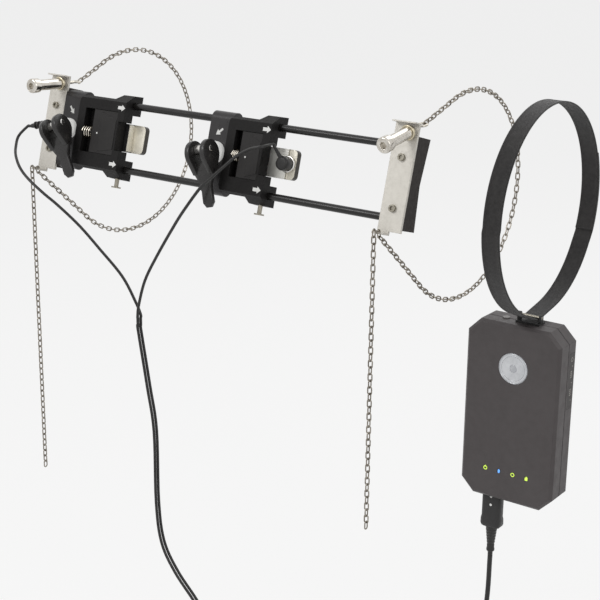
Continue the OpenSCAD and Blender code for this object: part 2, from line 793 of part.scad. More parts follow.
module cam_lever(s) {
  outer = cheek_gap + cheek_t;
  color(black_plastic) on_post(s) translate([0, 0, pin_r]) rotate([lever_lean, 0, 0]) difference() {
    union() {
      for (m = [-1, 1]) translate([m * (cheek_gap + cheek_t / 2), -cheek_off, 0])
        x_rod(-cheek_t / 2, cheek_t, cheek_r);
      translate([-outer, -web_in - web_len, -web_t / 2]) cube([2 * outer, web_len, web_t]);
      hull() {
        translate([-outer, -web_in - web_len, -web_t / 2]) cube([2 * outer, over, web_t]);
        translate([-lever_w / 2, -web_in - 2 * web_len, -lever_t / 2]) cube([lever_w, over, lever_t]);
      }
      hull() {
        translate([-lever_w / 2, -web_in - 2 * web_len, -lever_t / 2]) cube([lever_w, over, lever_t]);
        translate([-lever_w / 2, lever_tip - lever_len, -lever_t / 2]) cube([lever_w, over, lever_t]);
        translate([-lever_w / 4, -lever_len, -lever_t / 2]) cube([lever_w / 2, over, lever_t]);
      }
    }
    x_rod(-outer - over, 2 * (outer + over), cam_pin_d / 2 + slide_gap);
  }
}

module pressure_disc(s) {
  color(white_plastic) on_post(s) translate([0, 0, disc_low]) difference() {
    cylinder(h = disc_t, r = disc_d / 2);
    translate([0, 0, -over]) cylinder(h = disc_t + 2 * over, r = stud_d / 2 + slide_gap);
  }
}

module transducer_base(s) {
  color(steel) on_fixture() round_plate(base_start(s), base_end(s), base_u, base_low, base_t, base_corner);
}

module transducer_shell(s) {
  color(black_plastic) on_fixture() difference() {
    round_plate(base_start(s), carrier_x(s) - shell_back, base_u, base_top, shell_t, shell_corner);
    if (is_left(s)) translate([0, left_neck_u, base_top + left_neck_rise])
      x_rod(base_start(s) - over, over + neck_in, left_neck_d / 2);
  }
}

// The left lead leaves its transducer through the foot; its boot turns down a little
module transducer_plug_left() {
  start = base_start(-1) + neck_in;
  bend = start - left_neck_len;
  color(black_rubber) on_fixture() translate([0, left_neck_u, base_top + left_neck_rise]) {
    x_rod(bend, left_neck_len, left_neck_d / 2);
    translate([bend, 0, 0]) sphere(r = left_boot_d / 2);
    translate([bend, 0, 0]) rotate([0, 0, left_boot_turn]) {
      rotate([0, -90, 0]) cylinder(h = left_boot_len, r1 = left_boot_d / 2, r2 = left_boot_end_d / 2);
      for (i = [1 : rib_count]) x_rod(-i * rib_step - rib_count * rib_step, rib_t, rib_d / 2);
    }
  }
}

module connector_plate_right() {
  color(aluminium) on_fixture()
    round_plate(carrier_x(1) - shell_back + rest_gap, base_end(1) - plate_back, base_u - rest_gap, base_top,
      connector_t, connector_t);
}

module transducer_plug_right() {
  x = base_end(1) - round_plug_back;
  low = base_top + connector_t;
  color(black_rubber) on_fixture() translate([x, 0, low]) {
    cylinder(h = round_plug_h, r = round_plug_d / 2);
    cylinder(h = round_collar_t, r = round_collar_d / 2);
    translate([0, 0, outlet_rise]) rotate([0, 0, outlet_turn]) rotate([outlet_tip, 0, 0])
      y_rod(0, round_plug_d / 2 + outlet_len, outlet_d / 2);
  }
}

module lock_screw(s) {
  tip = rail_u + rail_d / 2 + rest_gap;
  color(bright_steel) on_fixture() translate([carrier_x(s) - lock_back, 0, rail_r]) {
    y_rod(-lock_out, lock_out - tip, lock_d / 2, 32);
    y_rod(-lock_out, lock_head_t, lock_head_d / 2, 32);
  }
}

// A belt outline round the seat and the hanger pin, seen along X, its inside at dr
module belt(dr, start, len) {
  big = seat_r + dr;
  small = loop_r + dr;
  x_rod(start, len, big, 96);
  translate([0, 0, -pin_drop]) x_rod(start, len, small, 32);
  along_x(start, len) polygon([
    for (p = [[-1, big, 0], [1, big, 0], [1, small, pin_drop], [-1, small, pin_drop]])
    [p[0] * p[1] * sin(strap_spread), -p[2] - p[1] * cos(strap_spread)]]);
}

module strap() {
  color(black_rubber) translate([strap_x, 0, 0]) rotate([-strap_drop, 0, 0]) {
    difference() {
      belt(strap_t, -strap_w / 2, strap_w);
      belt(0, -strap_w / 2 - over, strap_w + 2 * over);
    }
    rotate([-lap_start, 0, 0]) rotate([0, -90, 0]) translate([0, 0, -strap_w / 2])
      rotate_extrude(angle = strap_lap, $fn = 96)
        translate([seat_r + strap_t, 0]) square([strap_t, strap_w]);
  }
}

// The box's frame: the middle of its top face
module on_box() { translate([box_x, pin_y, box_top]) children(); }

// The box's front outline, grown by g, from depth y0 to y1
module box_prism(y0, y1, g) {
  w = box_w / 2 + g;
  c = box_corner + g * (2 - sqrt(2));
  translate([0, y1, 0]) rotate([90, 0, 0]) linear_extrude(height = y1 - y0)
    polygon([[c - w, g], [w - c, g], [w, g - c], [w, c - box_h - g], [w - c, -box_h - g],
      [c - w, -box_h - g], [-w, c - box_h - g], [-w, g - c]]);
}

boss_spots = [for (x = [-1, 1], z = [-boss_in - box_corner / 2, boss_in + box_corner / 2 - box_h])
  [x * (box_w / 2 - boss_in - box_corner / 4), z]];

module housing_front() {
  front = -box_d / 2;
  seam = -seam_t / 2;
  color(black_plastic) on_box() difference() {
    union() {
      difference() {
        hull() {
          box_prism(front + box_bevel, seam, 0);
          box_prism(front, seam, -box_bevel);
        }
        box_prism(front + box_wall, seam + over, -box_wall);
      }
      for (p = boss_spots) translate([p[0], 0, p[1]])
        y_rod(front + over, seam - front - over, boss_d / 2, 32);
      for (x = [-1, 1], z = [-board_low - board_margin, board_low + board_margin - box_h])
        translate([x * (box_w / 2 - 3 * board_margin), 0, z])
          y_rod(front + over, box_wall + board_stand - over, board_stand_d / 2, 24);
    }
    for (p = boss_spots) translate([p[0], 0, p[1]])
      y_rod(front + boss_end, box_d, box_screw_d / 2 + slide_gap, 24);
    for (x = light_x) translate([x, 0, light_z])
      y_rod(front - over, box_wall + 2 * over, light_d / 2 + slide_gap, 32);
    translate([badge_x, 0, badge_z]) y_rod(front - over, badge_deep + over, badge_d / 2 + slide_gap);
    translate([plug_x, 0, -box_h - over]) cylinder(h = box_wall + 2 * over, r = socket_d / 2 + slide_gap);
    translate([button_x, 0, -box_wall - over])
      cylinder(h = box_wall + 2 * over, r = button_d / 2 + slide_gap);
  }
}

module door_pocket() {
  translate([box_w / 2 - door_t - rest_gap, door_y, door_top - door_h])
    cube([door_t + rest_gap + over, door_w, door_h]);
}

module housing_back() {
  back = box_d / 2;
  seam = seam_t / 2;
  color(black_plastic) on_box() difference() {
    union() {
      difference() {
        hull() {
          box_prism(seam, back - box_bevel, 0);
          box_prism(seam, back, -box_bevel);
        }
        box_prism(seam - over, back - box_wall, -box_wall);
      }
      for (p = boss_spots) translate([p[0], 0, p[1]]) y_rod(seam, back - seam - over, boss_d / 2, 32);
    }
    for (p = boss_spots) translate([p[0], 0, p[1]]) {
      y_rod(seam - over, box_d, box_screw_d / 2 + rest_gap / 2, 24);
      y_rod(back - box_screw_head_t - rest_gap, box_d, box_screw_head_d / 2 + rest_gap / 2, 32);
    }
    translate([plug_x, 0, -box_h - over]) cylinder(h = box_wall + 2 * over, r = socket_d / 2 + slide_gap);
    translate([button_x, 0, -box_wall - over])
      cylinder(h = box_wall + 2 * over, r = button_d / 2 + slide_gap);
    door_pocket();
  }
}

module housing_seal() {
  color(black_rubber) on_box() difference() {
    box_prism(-seam_t / 2, seam_t / 2, -seam_in);
    box_prism(-seam_t / 2 - over, seam_t / 2 + over, -box_wall);
    translate([plug_x, 0, -box_h - over]) cylinder(h = box_wall + 2 * over, r = socket_d / 2 + slide_gap);
    translate([button_x, 0, -box_wall - over])
      cylinder(h = box_wall + 2 * over, r = button_d / 2 + slide_gap);
  }
}

module housing_screws() {
  len = box_d - boss_end - box_screw_head_t - 2 * rest_gap;
  color(steel) on_box() for (p = boss_spots) translate([p[0], 0, p[1]]) {
    y_rod(box_d / 2 - box_screw_head_t - len, len, box_screw_d / 2, 24);
    y_rod(box_d / 2 - box_screw_head_t, box_screw_head_t - rest_gap, box_screw_head_d / 2, 32);
  }
}

module main_board() {
  low = -box_d / 2 + box_wall + board_stand;
  color([0.1, 0.4, 0.2]) on_box() difference() {
    translate([board_margin - box_w / 2, low, board_low + box_corner / 2 - box_h])
      cube([box_w - 2 * board_margin, board_t, box_h - 2 * board_low - box_corner]);
    for (p = boss_spots) translate([p[0], 0, p[1]]) y_rod(-box_d, 2 * box_d, boss_d / 2 + rest_gap, 32);
  }
}

module battery_pack() {
  color([0.2, 0.3, 0.6]) on_box()
    translate([-pack_w / 2, box_d / 2 - box_wall - rest_gap - pack_t, -pack_top - pack_h])
      cube([pack_w, pack_t, pack_h]);
}

module indicator_lights() {
  color(white_plastic) on_box() for (x = light_x) translate([x, 0, light_z]) {
    y_rod(-box_d / 2 - light_lip / 3, light_len, light_d / 2, 32);
    y_rod(-box_d / 2 + box_wall, light_len - box_wall, light_d / 2 + light_lip, 32);
  }
}

module power_button() {
  color(black_rubber) on_box() translate([button_x, 0, 0]) {
    translate([0, 0, button_proud - button_len]) cylinder(h = button_len, r = button_d / 2);
    translate([0, 0, -box_wall - rest_gap - button_skirt - button_proud])
      cylinder(h = button_skirt, r = button_d / 2 + button_skirt);
  }
}

module badge_disc() {
  color(bright_steel) on_box() translate([badge_x, 0, badge_z])
    y_rod(badge_deep - box_d / 2 - badge_t, badge_t, badge_d / 2);
}

module port_cover() {
  color(black_rubber) on_box()
    translate([box_w / 2 - door_t, door_y + rest_gap, door_top - door_h + rest_gap])
    cube([door_t, door_w - 2 * rest_gap, door_h - 2 * rest_gap]);
}

module hanger_bracket() {
  half = strap_w / 2 + ear_gap;
  color(black_metal) on_box() translate([hanger_x, 0, 0]) difference() {
    union() {
      translate([-half - ear_t, -hanger_base_y / 2, 0])
        cube([2 * (half + ear_t), hanger_base_y, hanger_base_t]);
      for (m = [-1, 1]) {
        translate([m * (half + ear_t / 2) - ear_t / 2, -ear_round, 0]) cube([ear_t, 2 * ear_round, box_gap]);
        translate([m * (half + ear_t / 2) - ear_t / 2, 0, box_gap]) x_rod(0, ear_t, ear_round, 32);
      }
    }
    translate([0, 0, box_gap])
      x_rod(-half - ear_t - over, 2 * (half + ear_t + over), hanger_pin_d / 2 + slide_gap, 32);
  }
}

module hanger_pin() {
  half = strap_w / 2 + ear_gap + ear_t;
  color(steel) on_box() translate([hanger_x, 0, box_gap]) x_rod(-half, 2 * half, hanger_pin_d / 2, 32);
}

module signal_socket() {
  color(black_metal) on_box() translate([plug_x, 0, -box_h - socket_out])
    cylinder(h = socket_out + box_wall + socket_in, r = socket_d / 2);
}

module signal_plug() {
  color(black_plastic) on_box() translate([plug_x, 0, -box_h - socket_out - rest_gap - plug_len]) {
    round_plate(-plug_w / 2, plug_w / 2, plug_depth / 2, 0, plug_len, plug_corner);
    translate([-plug_button_w / 2, -plug_depth / 2 - plug_button_t, plug_len / 3])
      cube([plug_button_w, plug_depth / 2, plug_button_h]);
  }
}

module plug_boot() {
  color(black_rubber) translate([box_x + plug_x, pin_y, trunk_z])
    cylinder(h = boot_len, r1 = boot_end_d / 2, r2 = boot_top_d / 2);
}

// Points between the route's own points, on a smooth curve through them
function smooth(p, steps) = let (n = len(p) - 1) concat([for (i = [0 : n - 1], k = [0 : steps - 1])
  let (a = p[max(i - 1, 0)], b = p[i], c = p[i + 1], d = p[min(i + 2, n)], t = k / steps)
  b + (c - a) / 2 * t + (2 * a - 5 * b + 4 * c - d) / 2 * t * t + (3 * (b - c) + d - a) / 2 * t * t * t],
  [p[n]]);

cord_sides = 8;
boot_end = from_fixture([base_start(-1) + neck_in - left_neck_len - left_boot_len * cos(left_boot_turn),
  left_neck_u - left_boot_len * sin(left_boot_turn), base_top + left_neck_rise]);
boot_way = from_fixture([-cos(left_boot_turn), -sin(left_boot_turn), 0]);
outlet_way = from_fixture([-sin(outlet_turn) * cos(outlet_tip), cos(outlet_turn) * cos(outlet_tip),
  sin(outlet_tip)]);
outlet_end = from_fixture([base_end(1) - round_plug_back, 0, base_top + connector_t + outlet_rise])
  + (round_plug_d / 2 + outlet_len) * outlet_way;

module cord(route, d, start, steps) {
  color(black_rubber) ring_tube(tube_rings(smooth(route, steps), d / 2, cord_sides, start), cord_sides);
}

module cable_left() {
  cord(concat([for (i = [0 : 2]) boot_end + i * lead_d * boot_way], left_route), lead_d, [0, 0, 1], 2);
}

module cable_right() {
  cord(concat([for (i = [0 : 2]) outlet_end + i * lead_d * outlet_way], right_route), lead_d, [1, 0, 0], 2);
}

module cable_pair() {
  for (y = [0, -lead_side]) translate([0, y, 0]) cord(pair_route, lead_d, [0, 1, 0], 2);
}

module cable_trunk() {
  exit = [box_x + plug_x, pin_y, trunk_z];
  cord(concat([for (i = [0 : 2]) exit - [0, 0, i * trunk_d]], trunk_route), trunk_d, [0, 1, 0], 2);
}

module cable_joint() {
  color(black_rubber) translate(joint_at) {
    translate([0, joint_round - joint_w / 2, -joint_h / 2])
      cube([joint_len, joint_w - 2 * joint_round, joint_h]);
    for (m = [-1, 1]) translate([0, m * (joint_w / 2 - joint_h / 2), 0])
      x_rod(0, joint_len, joint_h / 2, 32);
  }
}

end_plate(-1);  // end_plate_left
end_plate(1);  // end_plate_right
foot(-1);  // foot_left
foot(1);  // foot_right
foot_pads();
rail(rail_u);  // rail_top
rail(-rail_u);  // rail_bottom
plate_screws();
draw_rod(-1);  // draw_rod_left
draw_rod(1);  // draw_rod_right
tension_nut(-1);  // tension_nut_left
tension_nut(1);  // tension_nut_right
chain_loop(-1);  // chain_loop_left
chain_loop(1);  // chain_loop_right
chain_tail(-1);  // chain_tail_left
chain_tail(1);  // chain_tail_right
carrier(-1);  // carrier_left
carrier(1);  // carrier_right
lever_mount(-1);  // lever_mount_left
lever_mount(1);  // lever_mount_right
latch_plate(-1);  // latch_plate_left
latch_plate(1);  // latch_plate_right
latch_spring(-1);  // latch_spring_left
latch_spring(1);  // latch_spring_right
cam_post(-1);  // cam_post_left
cam_post(1);  // cam_post_right
cam_lever(-1);  // cam_lever_left
cam_lever(1);  // cam_lever_right
pressure_disc(-1);  // pressure_disc_left
pressure_disc(1);  // pressure_disc_right
transducer_base(-1);  // transducer_base_left
transducer_base(1);  // transducer_base_right
transducer_shell(-1);  // transducer_shell_left
transducer_shell(1);  // transducer_shell_right
transducer_plug_left();
transducer_plug_right();
connector_plate_right();
lock_screw(-1);  // lock_screw_left
lock_screw(1);  // lock_screw_right
strap();
housing_front();
housing_back();
housing_seal();
housing_screws();
main_board();
battery_pack();
indicator_lights();
power_button();
badge_disc();
port_cover();
hanger_bracket();
hanger_pin();
signal_socket();
signal_plug();
plug_boot();
cable_left();
cable_right();
cable_pair();
cable_trunk();
cable_joint();
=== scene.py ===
"""Looks of a clamp-on ultrasonic flow meter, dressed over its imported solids.

Lengths are millimetres unless a name ends in _m, and angles are degrees. X runs along the rails towards the
transmitter box, Z is up and the front faces -Y. The fixture's own frame is (x along the
rails, u up the end plates, r out from the axis of the clamped cylinder).
"""
import logging
import math
from collections.abc import Sequence
from dataclasses import dataclass
from enum import Enum

import bmesh
import bpy
from mathutils import Matrix, Vector


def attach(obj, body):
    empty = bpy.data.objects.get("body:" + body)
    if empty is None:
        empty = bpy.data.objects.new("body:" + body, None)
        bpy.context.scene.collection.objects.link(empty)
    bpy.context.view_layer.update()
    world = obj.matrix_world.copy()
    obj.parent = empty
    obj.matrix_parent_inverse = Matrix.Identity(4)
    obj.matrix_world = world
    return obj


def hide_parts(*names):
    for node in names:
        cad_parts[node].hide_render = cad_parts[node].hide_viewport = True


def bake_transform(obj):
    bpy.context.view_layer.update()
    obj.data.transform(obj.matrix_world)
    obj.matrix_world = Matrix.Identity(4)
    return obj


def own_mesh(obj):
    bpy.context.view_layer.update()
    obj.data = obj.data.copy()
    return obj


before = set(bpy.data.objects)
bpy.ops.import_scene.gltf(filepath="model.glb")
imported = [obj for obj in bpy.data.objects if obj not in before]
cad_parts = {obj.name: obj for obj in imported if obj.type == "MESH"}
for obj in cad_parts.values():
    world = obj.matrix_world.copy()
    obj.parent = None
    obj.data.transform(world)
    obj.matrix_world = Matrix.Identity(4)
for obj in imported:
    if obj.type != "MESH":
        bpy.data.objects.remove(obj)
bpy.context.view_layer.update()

LOG = logging.getLogger("flow_meter")
MM = 0.001
FIXTURE_TILT = 16.0
FIXTURE = Matrix.Rotation(math.radians(90.0 - FIXTURE_TILT), 4, "X")
SEAT_R = 109.55
PLATE_X = 238.6
BASE_TOP = 116.85
MOUNT_TOP = 134.0
CARRIER_TOP = 140.0
LEVER_PIN_R = 158.4632
BOOT_LEN = 28.0
BOOT_TURN = 12.0
OUTLET_TURN = 25.0
OUTLET_TIP = 35.0
ROUND_FORMS = 50.0  # Turned forms are shaded smooth over edges flatter than this.
SHARP_EDGE = 30.0  # Edges sharper than this are rounded.
WHITE = (1.0, 1.0, 1.0, 1.0)
PAINTED_GAP_SHADE = (0.004, 0.004, 0.004, 1.0)  # Painted shade between the threads.
COAT_ROUGHNESS = 0.15
SHEEN = 0.25
SHEEN_ROUGHNESS = 0.5
RELIEF_STRENGTH = 0.6

Colour = tuple[float, float, float]
Point = tuple[float, float, float]
Pair = tuple[float, float]
Outline = Sequence[Pair]
Route = tuple[Point, ...]
Bend = tuple[str, Point, Point]


class Side(Enum):
    """The two carriers, as they are seen from the front."""

    LEFT = -1
    RIGHT = 1

    @property
    def word(self) -> str:
        """The side's word in node and body names."""
        return self.name.lower()


class Surface(Enum):
    """Ways in which a finish's surface is grained."""

    MOULDED = "moulded"
    BRUSHED_ALONG = "brushed_along"
    BRUSHED_UP = "brushed_up"
    SMOOTH = "smooth"
    WOVEN = "woven"


class Tree:
    """A node tree that is written call by call."""

    def __init__(self, tree: bpy.types.NodeTree) -> None:
        """Start on a tree.

        Args:
            tree: The node tree to add to.
        """
        self.tree = tree
        self.column = 0

    def add(self, kind: str, inputs: dict | None = None, **settings: object) -> bpy.types.Node:
        """Add a node, set it up and link what is given as a socket.

        Args:
            kind: The node's type name.
            inputs: Values or output sockets by input name or number.
            **settings: The node's own properties.

        Returns:
            The new node.
        """
        node = self.tree.nodes.new(kind)
        node.location = (self.column * 190.0, -60.0 * (self.column % 4))
        self.column += 1
        for key, value in settings.items():
            setattr(node, key, value)
        for key, value in (inputs or {}).items():
            if isinstance(value, bpy.types.NodeSocket):
                self.tree.links.new(value, node.inputs[key])
            else:
                node.inputs[key].default_value = value
        return node

    def maths(self, operation: str, a: object, b: object = 0.0) -> bpy.types.NodeSocket:
        """Add a Math node and return its output."""
        return self.add("ShaderNodeMath", {0: a, 1: b}, operation=operation).outputs[0]

    def ranged(self, value: object, low: float, high: float, to_low: object = 0.0,
               to_high: object = 1.0) -> bpy.types.NodeSocket:
        """Add a Map Range node and return its output."""
        inputs = {"Value": value, "From Min": low, "From Max": high, "To Min": to_low, "To Max": to_high}
        return self.add("ShaderNodeMapRange", inputs).outputs[0]

    def mixed(self, share: object, a: object, b: object) -> bpy.types.NodeSocket:
        """Mix two colours and return the output."""
        return self.add("ShaderNodeMix", {0: share, 6: a, 7: b}, data_type="RGBA").outputs[2]

    def noise(self, vector: object, scale: object, detail: float = 2.0,
              distortion: float = 0.0) -> bpy.types.NodeSocket:
        """Add a noise texture and return its value."""
        inputs = {"Vector": vector, "Scale": scale, "Detail": detail, "Roughness": 0.55,
                  "Distortion": distortion}
        return self.add("ShaderNodeTexNoise", inputs).outputs[0]

    def link(self, source: bpy.types.NodeSocket, target: bpy.types.NodeSocket) -> None:
        """Link two sockets."""
        self.tree.links.new(source, target)


def fresh_tree(owner: bpy.types.Material | bpy.types.World) -> Tree:
    """Empty the node tree of a material or world, to write it anew.

    Args:
        owner: The material or world.

    Returns:
        The emptied tree.
    """
    owner.use_nodes = True
    owner.node_tree.nodes.clear()
    return Tree(owner.node_tree)


class Effects:
    """The shader node groups that the finishes share, each built once.

    Attributes:
        broad_share: Share of the broad noise in the patches, beside the fine one.
        fine_times: How many times finer the fine noise is.
        patch_range: Noise values between which a patch fades in.
        gloss_range: Noise values over which the gloss runs from least to most.
        scuff_range: Noise values between which scuffs fade in.
        line_times: How many times finer the lines in the scuffs are.
        line_range: Noise values between which those lines fade in.
        weft_share: Share of the weave's height that the weft makes.
        least_shade: Brightness of the painted shade in the gaps of the weave.
    """

    broad_share: float = 0.7
    fine_times: float = 7.0
    patch_range: Pair = (0.38, 0.62)
    gloss_range: Pair = (0.3, 0.7)
    scuff_range: Pair = (0.52, 0.72)
    line_times: float = 9.0
    line_range: Pair = (0.45, 0.75)
    weft_share: float = 0.6
    least_shade: float = 0.35

    def __init__(self) -> None:
        """Build the groups."""
        self.mottle = self._mottle()
        self.grain = self._grain()
        self.scuff = self._scuff()
        self.weave = self._weave()

    @staticmethod
    def _group(name: str, inputs: dict[str, object],
               outputs: dict[str, str]) -> tuple[Tree, dict, bpy.types.Node]:
        """Make an empty group with named sockets.

        Args:
            name: The group's name.
            inputs: First value by input name; four numbers are a colour and three a vector.
            outputs: Socket type by output name.

        Returns:
            The tree, the input sockets by name, and the group's output node.
        """
        tree = bpy.data.node_groups.new(name, "ShaderNodeTree")
        for label, value in inputs.items():
            kind = {3: "Vector", 4: "Color"}[len(value)] if isinstance(value, tuple) else "Float"
            socket = tree.interface.new_socket(label, in_out="INPUT", socket_type=f"NodeSocket{kind}")
            socket.default_value = value
        for label, kind in outputs.items():
            tree.interface.new_socket(label, in_out="OUTPUT", socket_type=f"NodeSocket{kind}")
        made = Tree(tree)
        source = made.add("NodeGroupInput")
        target = made.add("NodeGroupOutput")
        return made, {s.name: s for s in source.outputs if s.name}, target

    def _mottle(self) -> bpy.types.NodeTree:
        """Uneven colour and gloss in soft patches.

        Returns:
            The node group.
        """
        tree, given, out = self._group(
            "uneven_finish",
            {"Colour": WHITE, "Second": WHITE, "Roughness": 0.5, "Spread": 0.1, "Scale": 40.0},
            {"Colour": "Color", "Roughness": "Float"})
        place = tree.add("ShaderNodeTexCoord").outputs["Object"]
        broad = tree.noise(place, given["Scale"], 4.0, 0.6)
        fine = tree.noise(place, tree.maths("MULTIPLY", given["Scale"], self.fine_times))
        both = tree.maths("ADD", tree.maths("MULTIPLY", broad, self.broad_share),
                          tree.maths("MULTIPLY", fine, 1.0 - self.broad_share))
        share = tree.ranged(both, *self.patch_range)
        low = tree.maths("SUBTRACT", given["Roughness"], given["Spread"])
        high = tree.maths("ADD", given["Roughness"], given["Spread"])
        tree.link(tree.mixed(share, given["Colour"], given["Second"]), out.inputs["Colour"])
        tree.link(tree.ranged(fine, *self.gloss_range, low, high), out.inputs["Roughness"])
        return tree.tree

    def _grain(self) -> bpy.types.NodeTree:
        """A height from noise that may be drawn out along an axis.

        Returns:
            The node group.
        """
        tree, given, out = self._group(
            "surface_grain", {"Stretch": (1.0, 1.0, 1.0), "Scale": 1000.0}, {"Height": "Float"})
        place = tree.add("ShaderNodeTexCoord").outputs["Object"]
        back = math.radians(FIXTURE_TILT - 90.0)
        level = tree.add("ShaderNodeVectorRotate", {"Vector": place, "Angle": back}, rotation_type="X_AXIS")
        inputs = {0: level.outputs[0], 1: given["Stretch"]}
        drawn = tree.add("ShaderNodeVectorMath", inputs, operation="MULTIPLY").outputs[0]
        tree.link(tree.noise(drawn, given["Scale"]), out.inputs["Height"])
        return tree.tree

    def _scuff(self) -> bpy.types.NodeTree:
        """Fine scuffs and dust as a mask.

        Returns:
            The node group.
        """
        tree, given, out = self._group("scuffs", {"Scale": 90.0, "Amount": 0.2}, {"Mask": "Float"})
        place = tree.add("ShaderNodeTexCoord").outputs["Object"]
        patches = tree.ranged(tree.noise(place, given["Scale"], 6.0, 1.5), *self.scuff_range)
        fine = tree.maths("MULTIPLY", given["Scale"], self.line_times)
        lines = tree.ranged(tree.noise(place, fine), *self.line_range)
        mask = tree.maths("MULTIPLY", tree.maths("MULTIPLY", patches, lines), given["Amount"])
        tree.link(mask, out.inputs["Mask"])
        return tree.tree

    def _weave(self) -> bpy.types.NodeTree:
        """Ribbed webbing with painted shade in its gaps, from the piece's own UV map, whose unit is a
        millimetre.

        Returns:
            The node group.
        """
        tree, given, out = self._group(
            "webbing", {"Ribs per mm": 0.9, "Picks per mm": 0.7}, {"Height": "Float", "Shade": "Float"})
        uv = tree.add("ShaderNodeSeparateXYZ", {0: tree.add("ShaderNodeUVMap", uv_map="cloth").outputs[0]})
        across = tree.maths("MULTIPLY", tree.maths("MULTIPLY", uv.outputs[0], given["Ribs per mm"]), math.tau)
        along = tree.maths("MULTIPLY", tree.maths("MULTIPLY", uv.outputs[1], given["Picks per mm"]), math.tau)
        wave = tree.maths("SINE", across)
        shift = tree.maths("MULTIPLY", tree.maths("SIGN", wave), math.tau / 4)
        weft = tree.maths("ABSOLUTE", tree.maths("SINE", tree.maths("ADD", along, shift)))
        woven = tree.maths("MULTIPLY", weft, self.weft_share)
        height = tree.maths("MULTIPLY", tree.maths("ABSOLUTE", wave),
                            tree.maths("ADD", woven, 1.0 - self.weft_share))
        tree.link(height, out.inputs["Height"])
        # Painted shade: darker where the weave is low, in the gaps between the threads.
        tree.link(tree.ranged(height, 0.0, 1.0, self.least_shade), out.inputs["Shade"])
        return tree.tree


@dataclass(frozen=True)
class Finish:
    """One finish: its colours, gloss, grain and wear.

    Attributes:
        name: The material's name.
        slot: The record's slot that pieces of this finish belong to.
        colour: Main colour.
        second: Colour of the softer patches.
        roughness: Middle roughness.
        spread: How far the roughness varies.
        metallic: 1 for bare metal.
        patch: Size of the colour patches.
        surface: The kind of grain.
        grain: Size of the grain.
        relief: Height of the grain.
        edge: Radius by which edges look rounded.
        scuff: Strength of scuffs and dust.
        worn: Colour of the scuffs.
        coat: Clear coat.
        glow: Strength of emitted light: real light on the indicator symbols, painted light on the pressure
            disc.
        specular: Strength of the shine on an unmetallic surface.
    """

    name: str
    slot: str
    colour: Colour
    second: Colour
    roughness: float = 0.5
    spread: float = 0.07
    metallic: float = 0.0
    patch: float = 25.0
    surface: Surface = Surface.MOULDED
    grain: float = 0.5
    relief: float = 0.03
    edge: float = 0.4
    scuff: float = 0.12
    worn: Colour = (0.3, 0.29, 0.27)
    coat: float = 0.0
    glow: float = 0.0
    specular: float = 0.5

    def height(self, tree: Tree, effects: Effects) -> bpy.types.NodeSocket | None:
        """Add the surface's height.

        Args:
            tree: The material's tree.
            effects: The shared node groups.

        Returns:
            The height socket, or None for a smooth surface.
        """
        if self.surface is Surface.SMOOTH:
            return None
        if self.surface is Surface.WOVEN:
            return tree.add("ShaderNodeGroup", node_tree=effects.weave).outputs["Height"]
        stretch = {Surface.MOULDED: (1.0, 1.0, 1.0), Surface.BRUSHED_ALONG: (0.03, 1.0, 1.0),
                   Surface.BRUSHED_UP: (1.0, 0.03, 1.0)}[self.surface]
        inputs = {"Stretch": stretch, "Scale": 1.0 / (self.grain * MM)}
        return self._fed(tree, effects.grain, inputs).outputs["Height"]

    @staticmethod
    def _fed(tree: Tree, group: bpy.types.NodeTree, inputs: dict) -> bpy.types.Node:
        """Place a group and feed its inputs.

        Args:
            tree: The material's tree.
            group: The node group.
            inputs: Values by input name.

        Returns:
            The group's node.
        """
        node = tree.add("ShaderNodeGroup", node_tree=group)
        for key, value in inputs.items():
            node.inputs[key].default_value = value
        return node

    def build(self, effects: Effects) -> bpy.types.Material:
        """Make the material, or find it if it is made already.

        Args:
            effects: The shared node groups.

        Returns:
            The material.
        """
        label = f"look_{self.name}"
        found = bpy.data.materials.get(label)
        if found:
            return found
        material = bpy.data.materials.new(label)
        tree = fresh_tree(material)
        mottle = self._fed(tree, effects.mottle, {
            "Colour": (*self.colour, 1.0), "Second": (*self.second, 1.0), "Roughness": self.roughness,
            "Spread": self.spread, "Scale": 1.0 / (self.patch * MM)})
        colour = mottle.outputs["Colour"]
        if self.scuff:
            scuff = self._fed(tree, effects.scuff, {"Scale": 2.0 / (self.patch * MM), "Amount": self.scuff})
            colour = tree.mixed(scuff.outputs["Mask"], colour, (*self.worn, 1.0))
        if self.surface is Surface.WOVEN:
            # Painted shade: the gaps between the threads are darkened.
            shade = tree.add("ShaderNodeGroup", node_tree=effects.weave).outputs["Shade"]
            colour = tree.mixed(shade, PAINTED_GAP_SHADE, colour)
        normal = tree.add("ShaderNodeBevel", {"Radius": self.edge * MM}, samples=4).outputs[0]
        height = self.height(tree, effects)
        if height is not None:
            inputs = {"Height": height, "Normal": normal, "Strength": RELIEF_STRENGTH,
                      "Distance": self.relief * MM}
            normal = tree.add("ShaderNodeBump", inputs).outputs[0]
        inputs = {"Base Color": colour, "Roughness": mottle.outputs["Roughness"], "Metallic": self.metallic,
                  "Specular IOR Level": self.specular, "Coat Weight": self.coat,
                  "Coat Roughness": COAT_ROUGHNESS, "Normal": normal}
        if self.surface is Surface.WOVEN:
            inputs |= {"Sheen Weight": SHEEN, "Sheen Roughness": SHEEN_ROUGHNESS}
        if self.glow:
            inputs |= {"Emission Color": (*self.colour, 1.0), "Emission Strength": self.glow}
        shader = tree.add("ShaderNodeBsdfPrincipled", inputs)
        tree.add("ShaderNodeOutputMaterial", {"Surface": shader.outputs[0]})
        return material


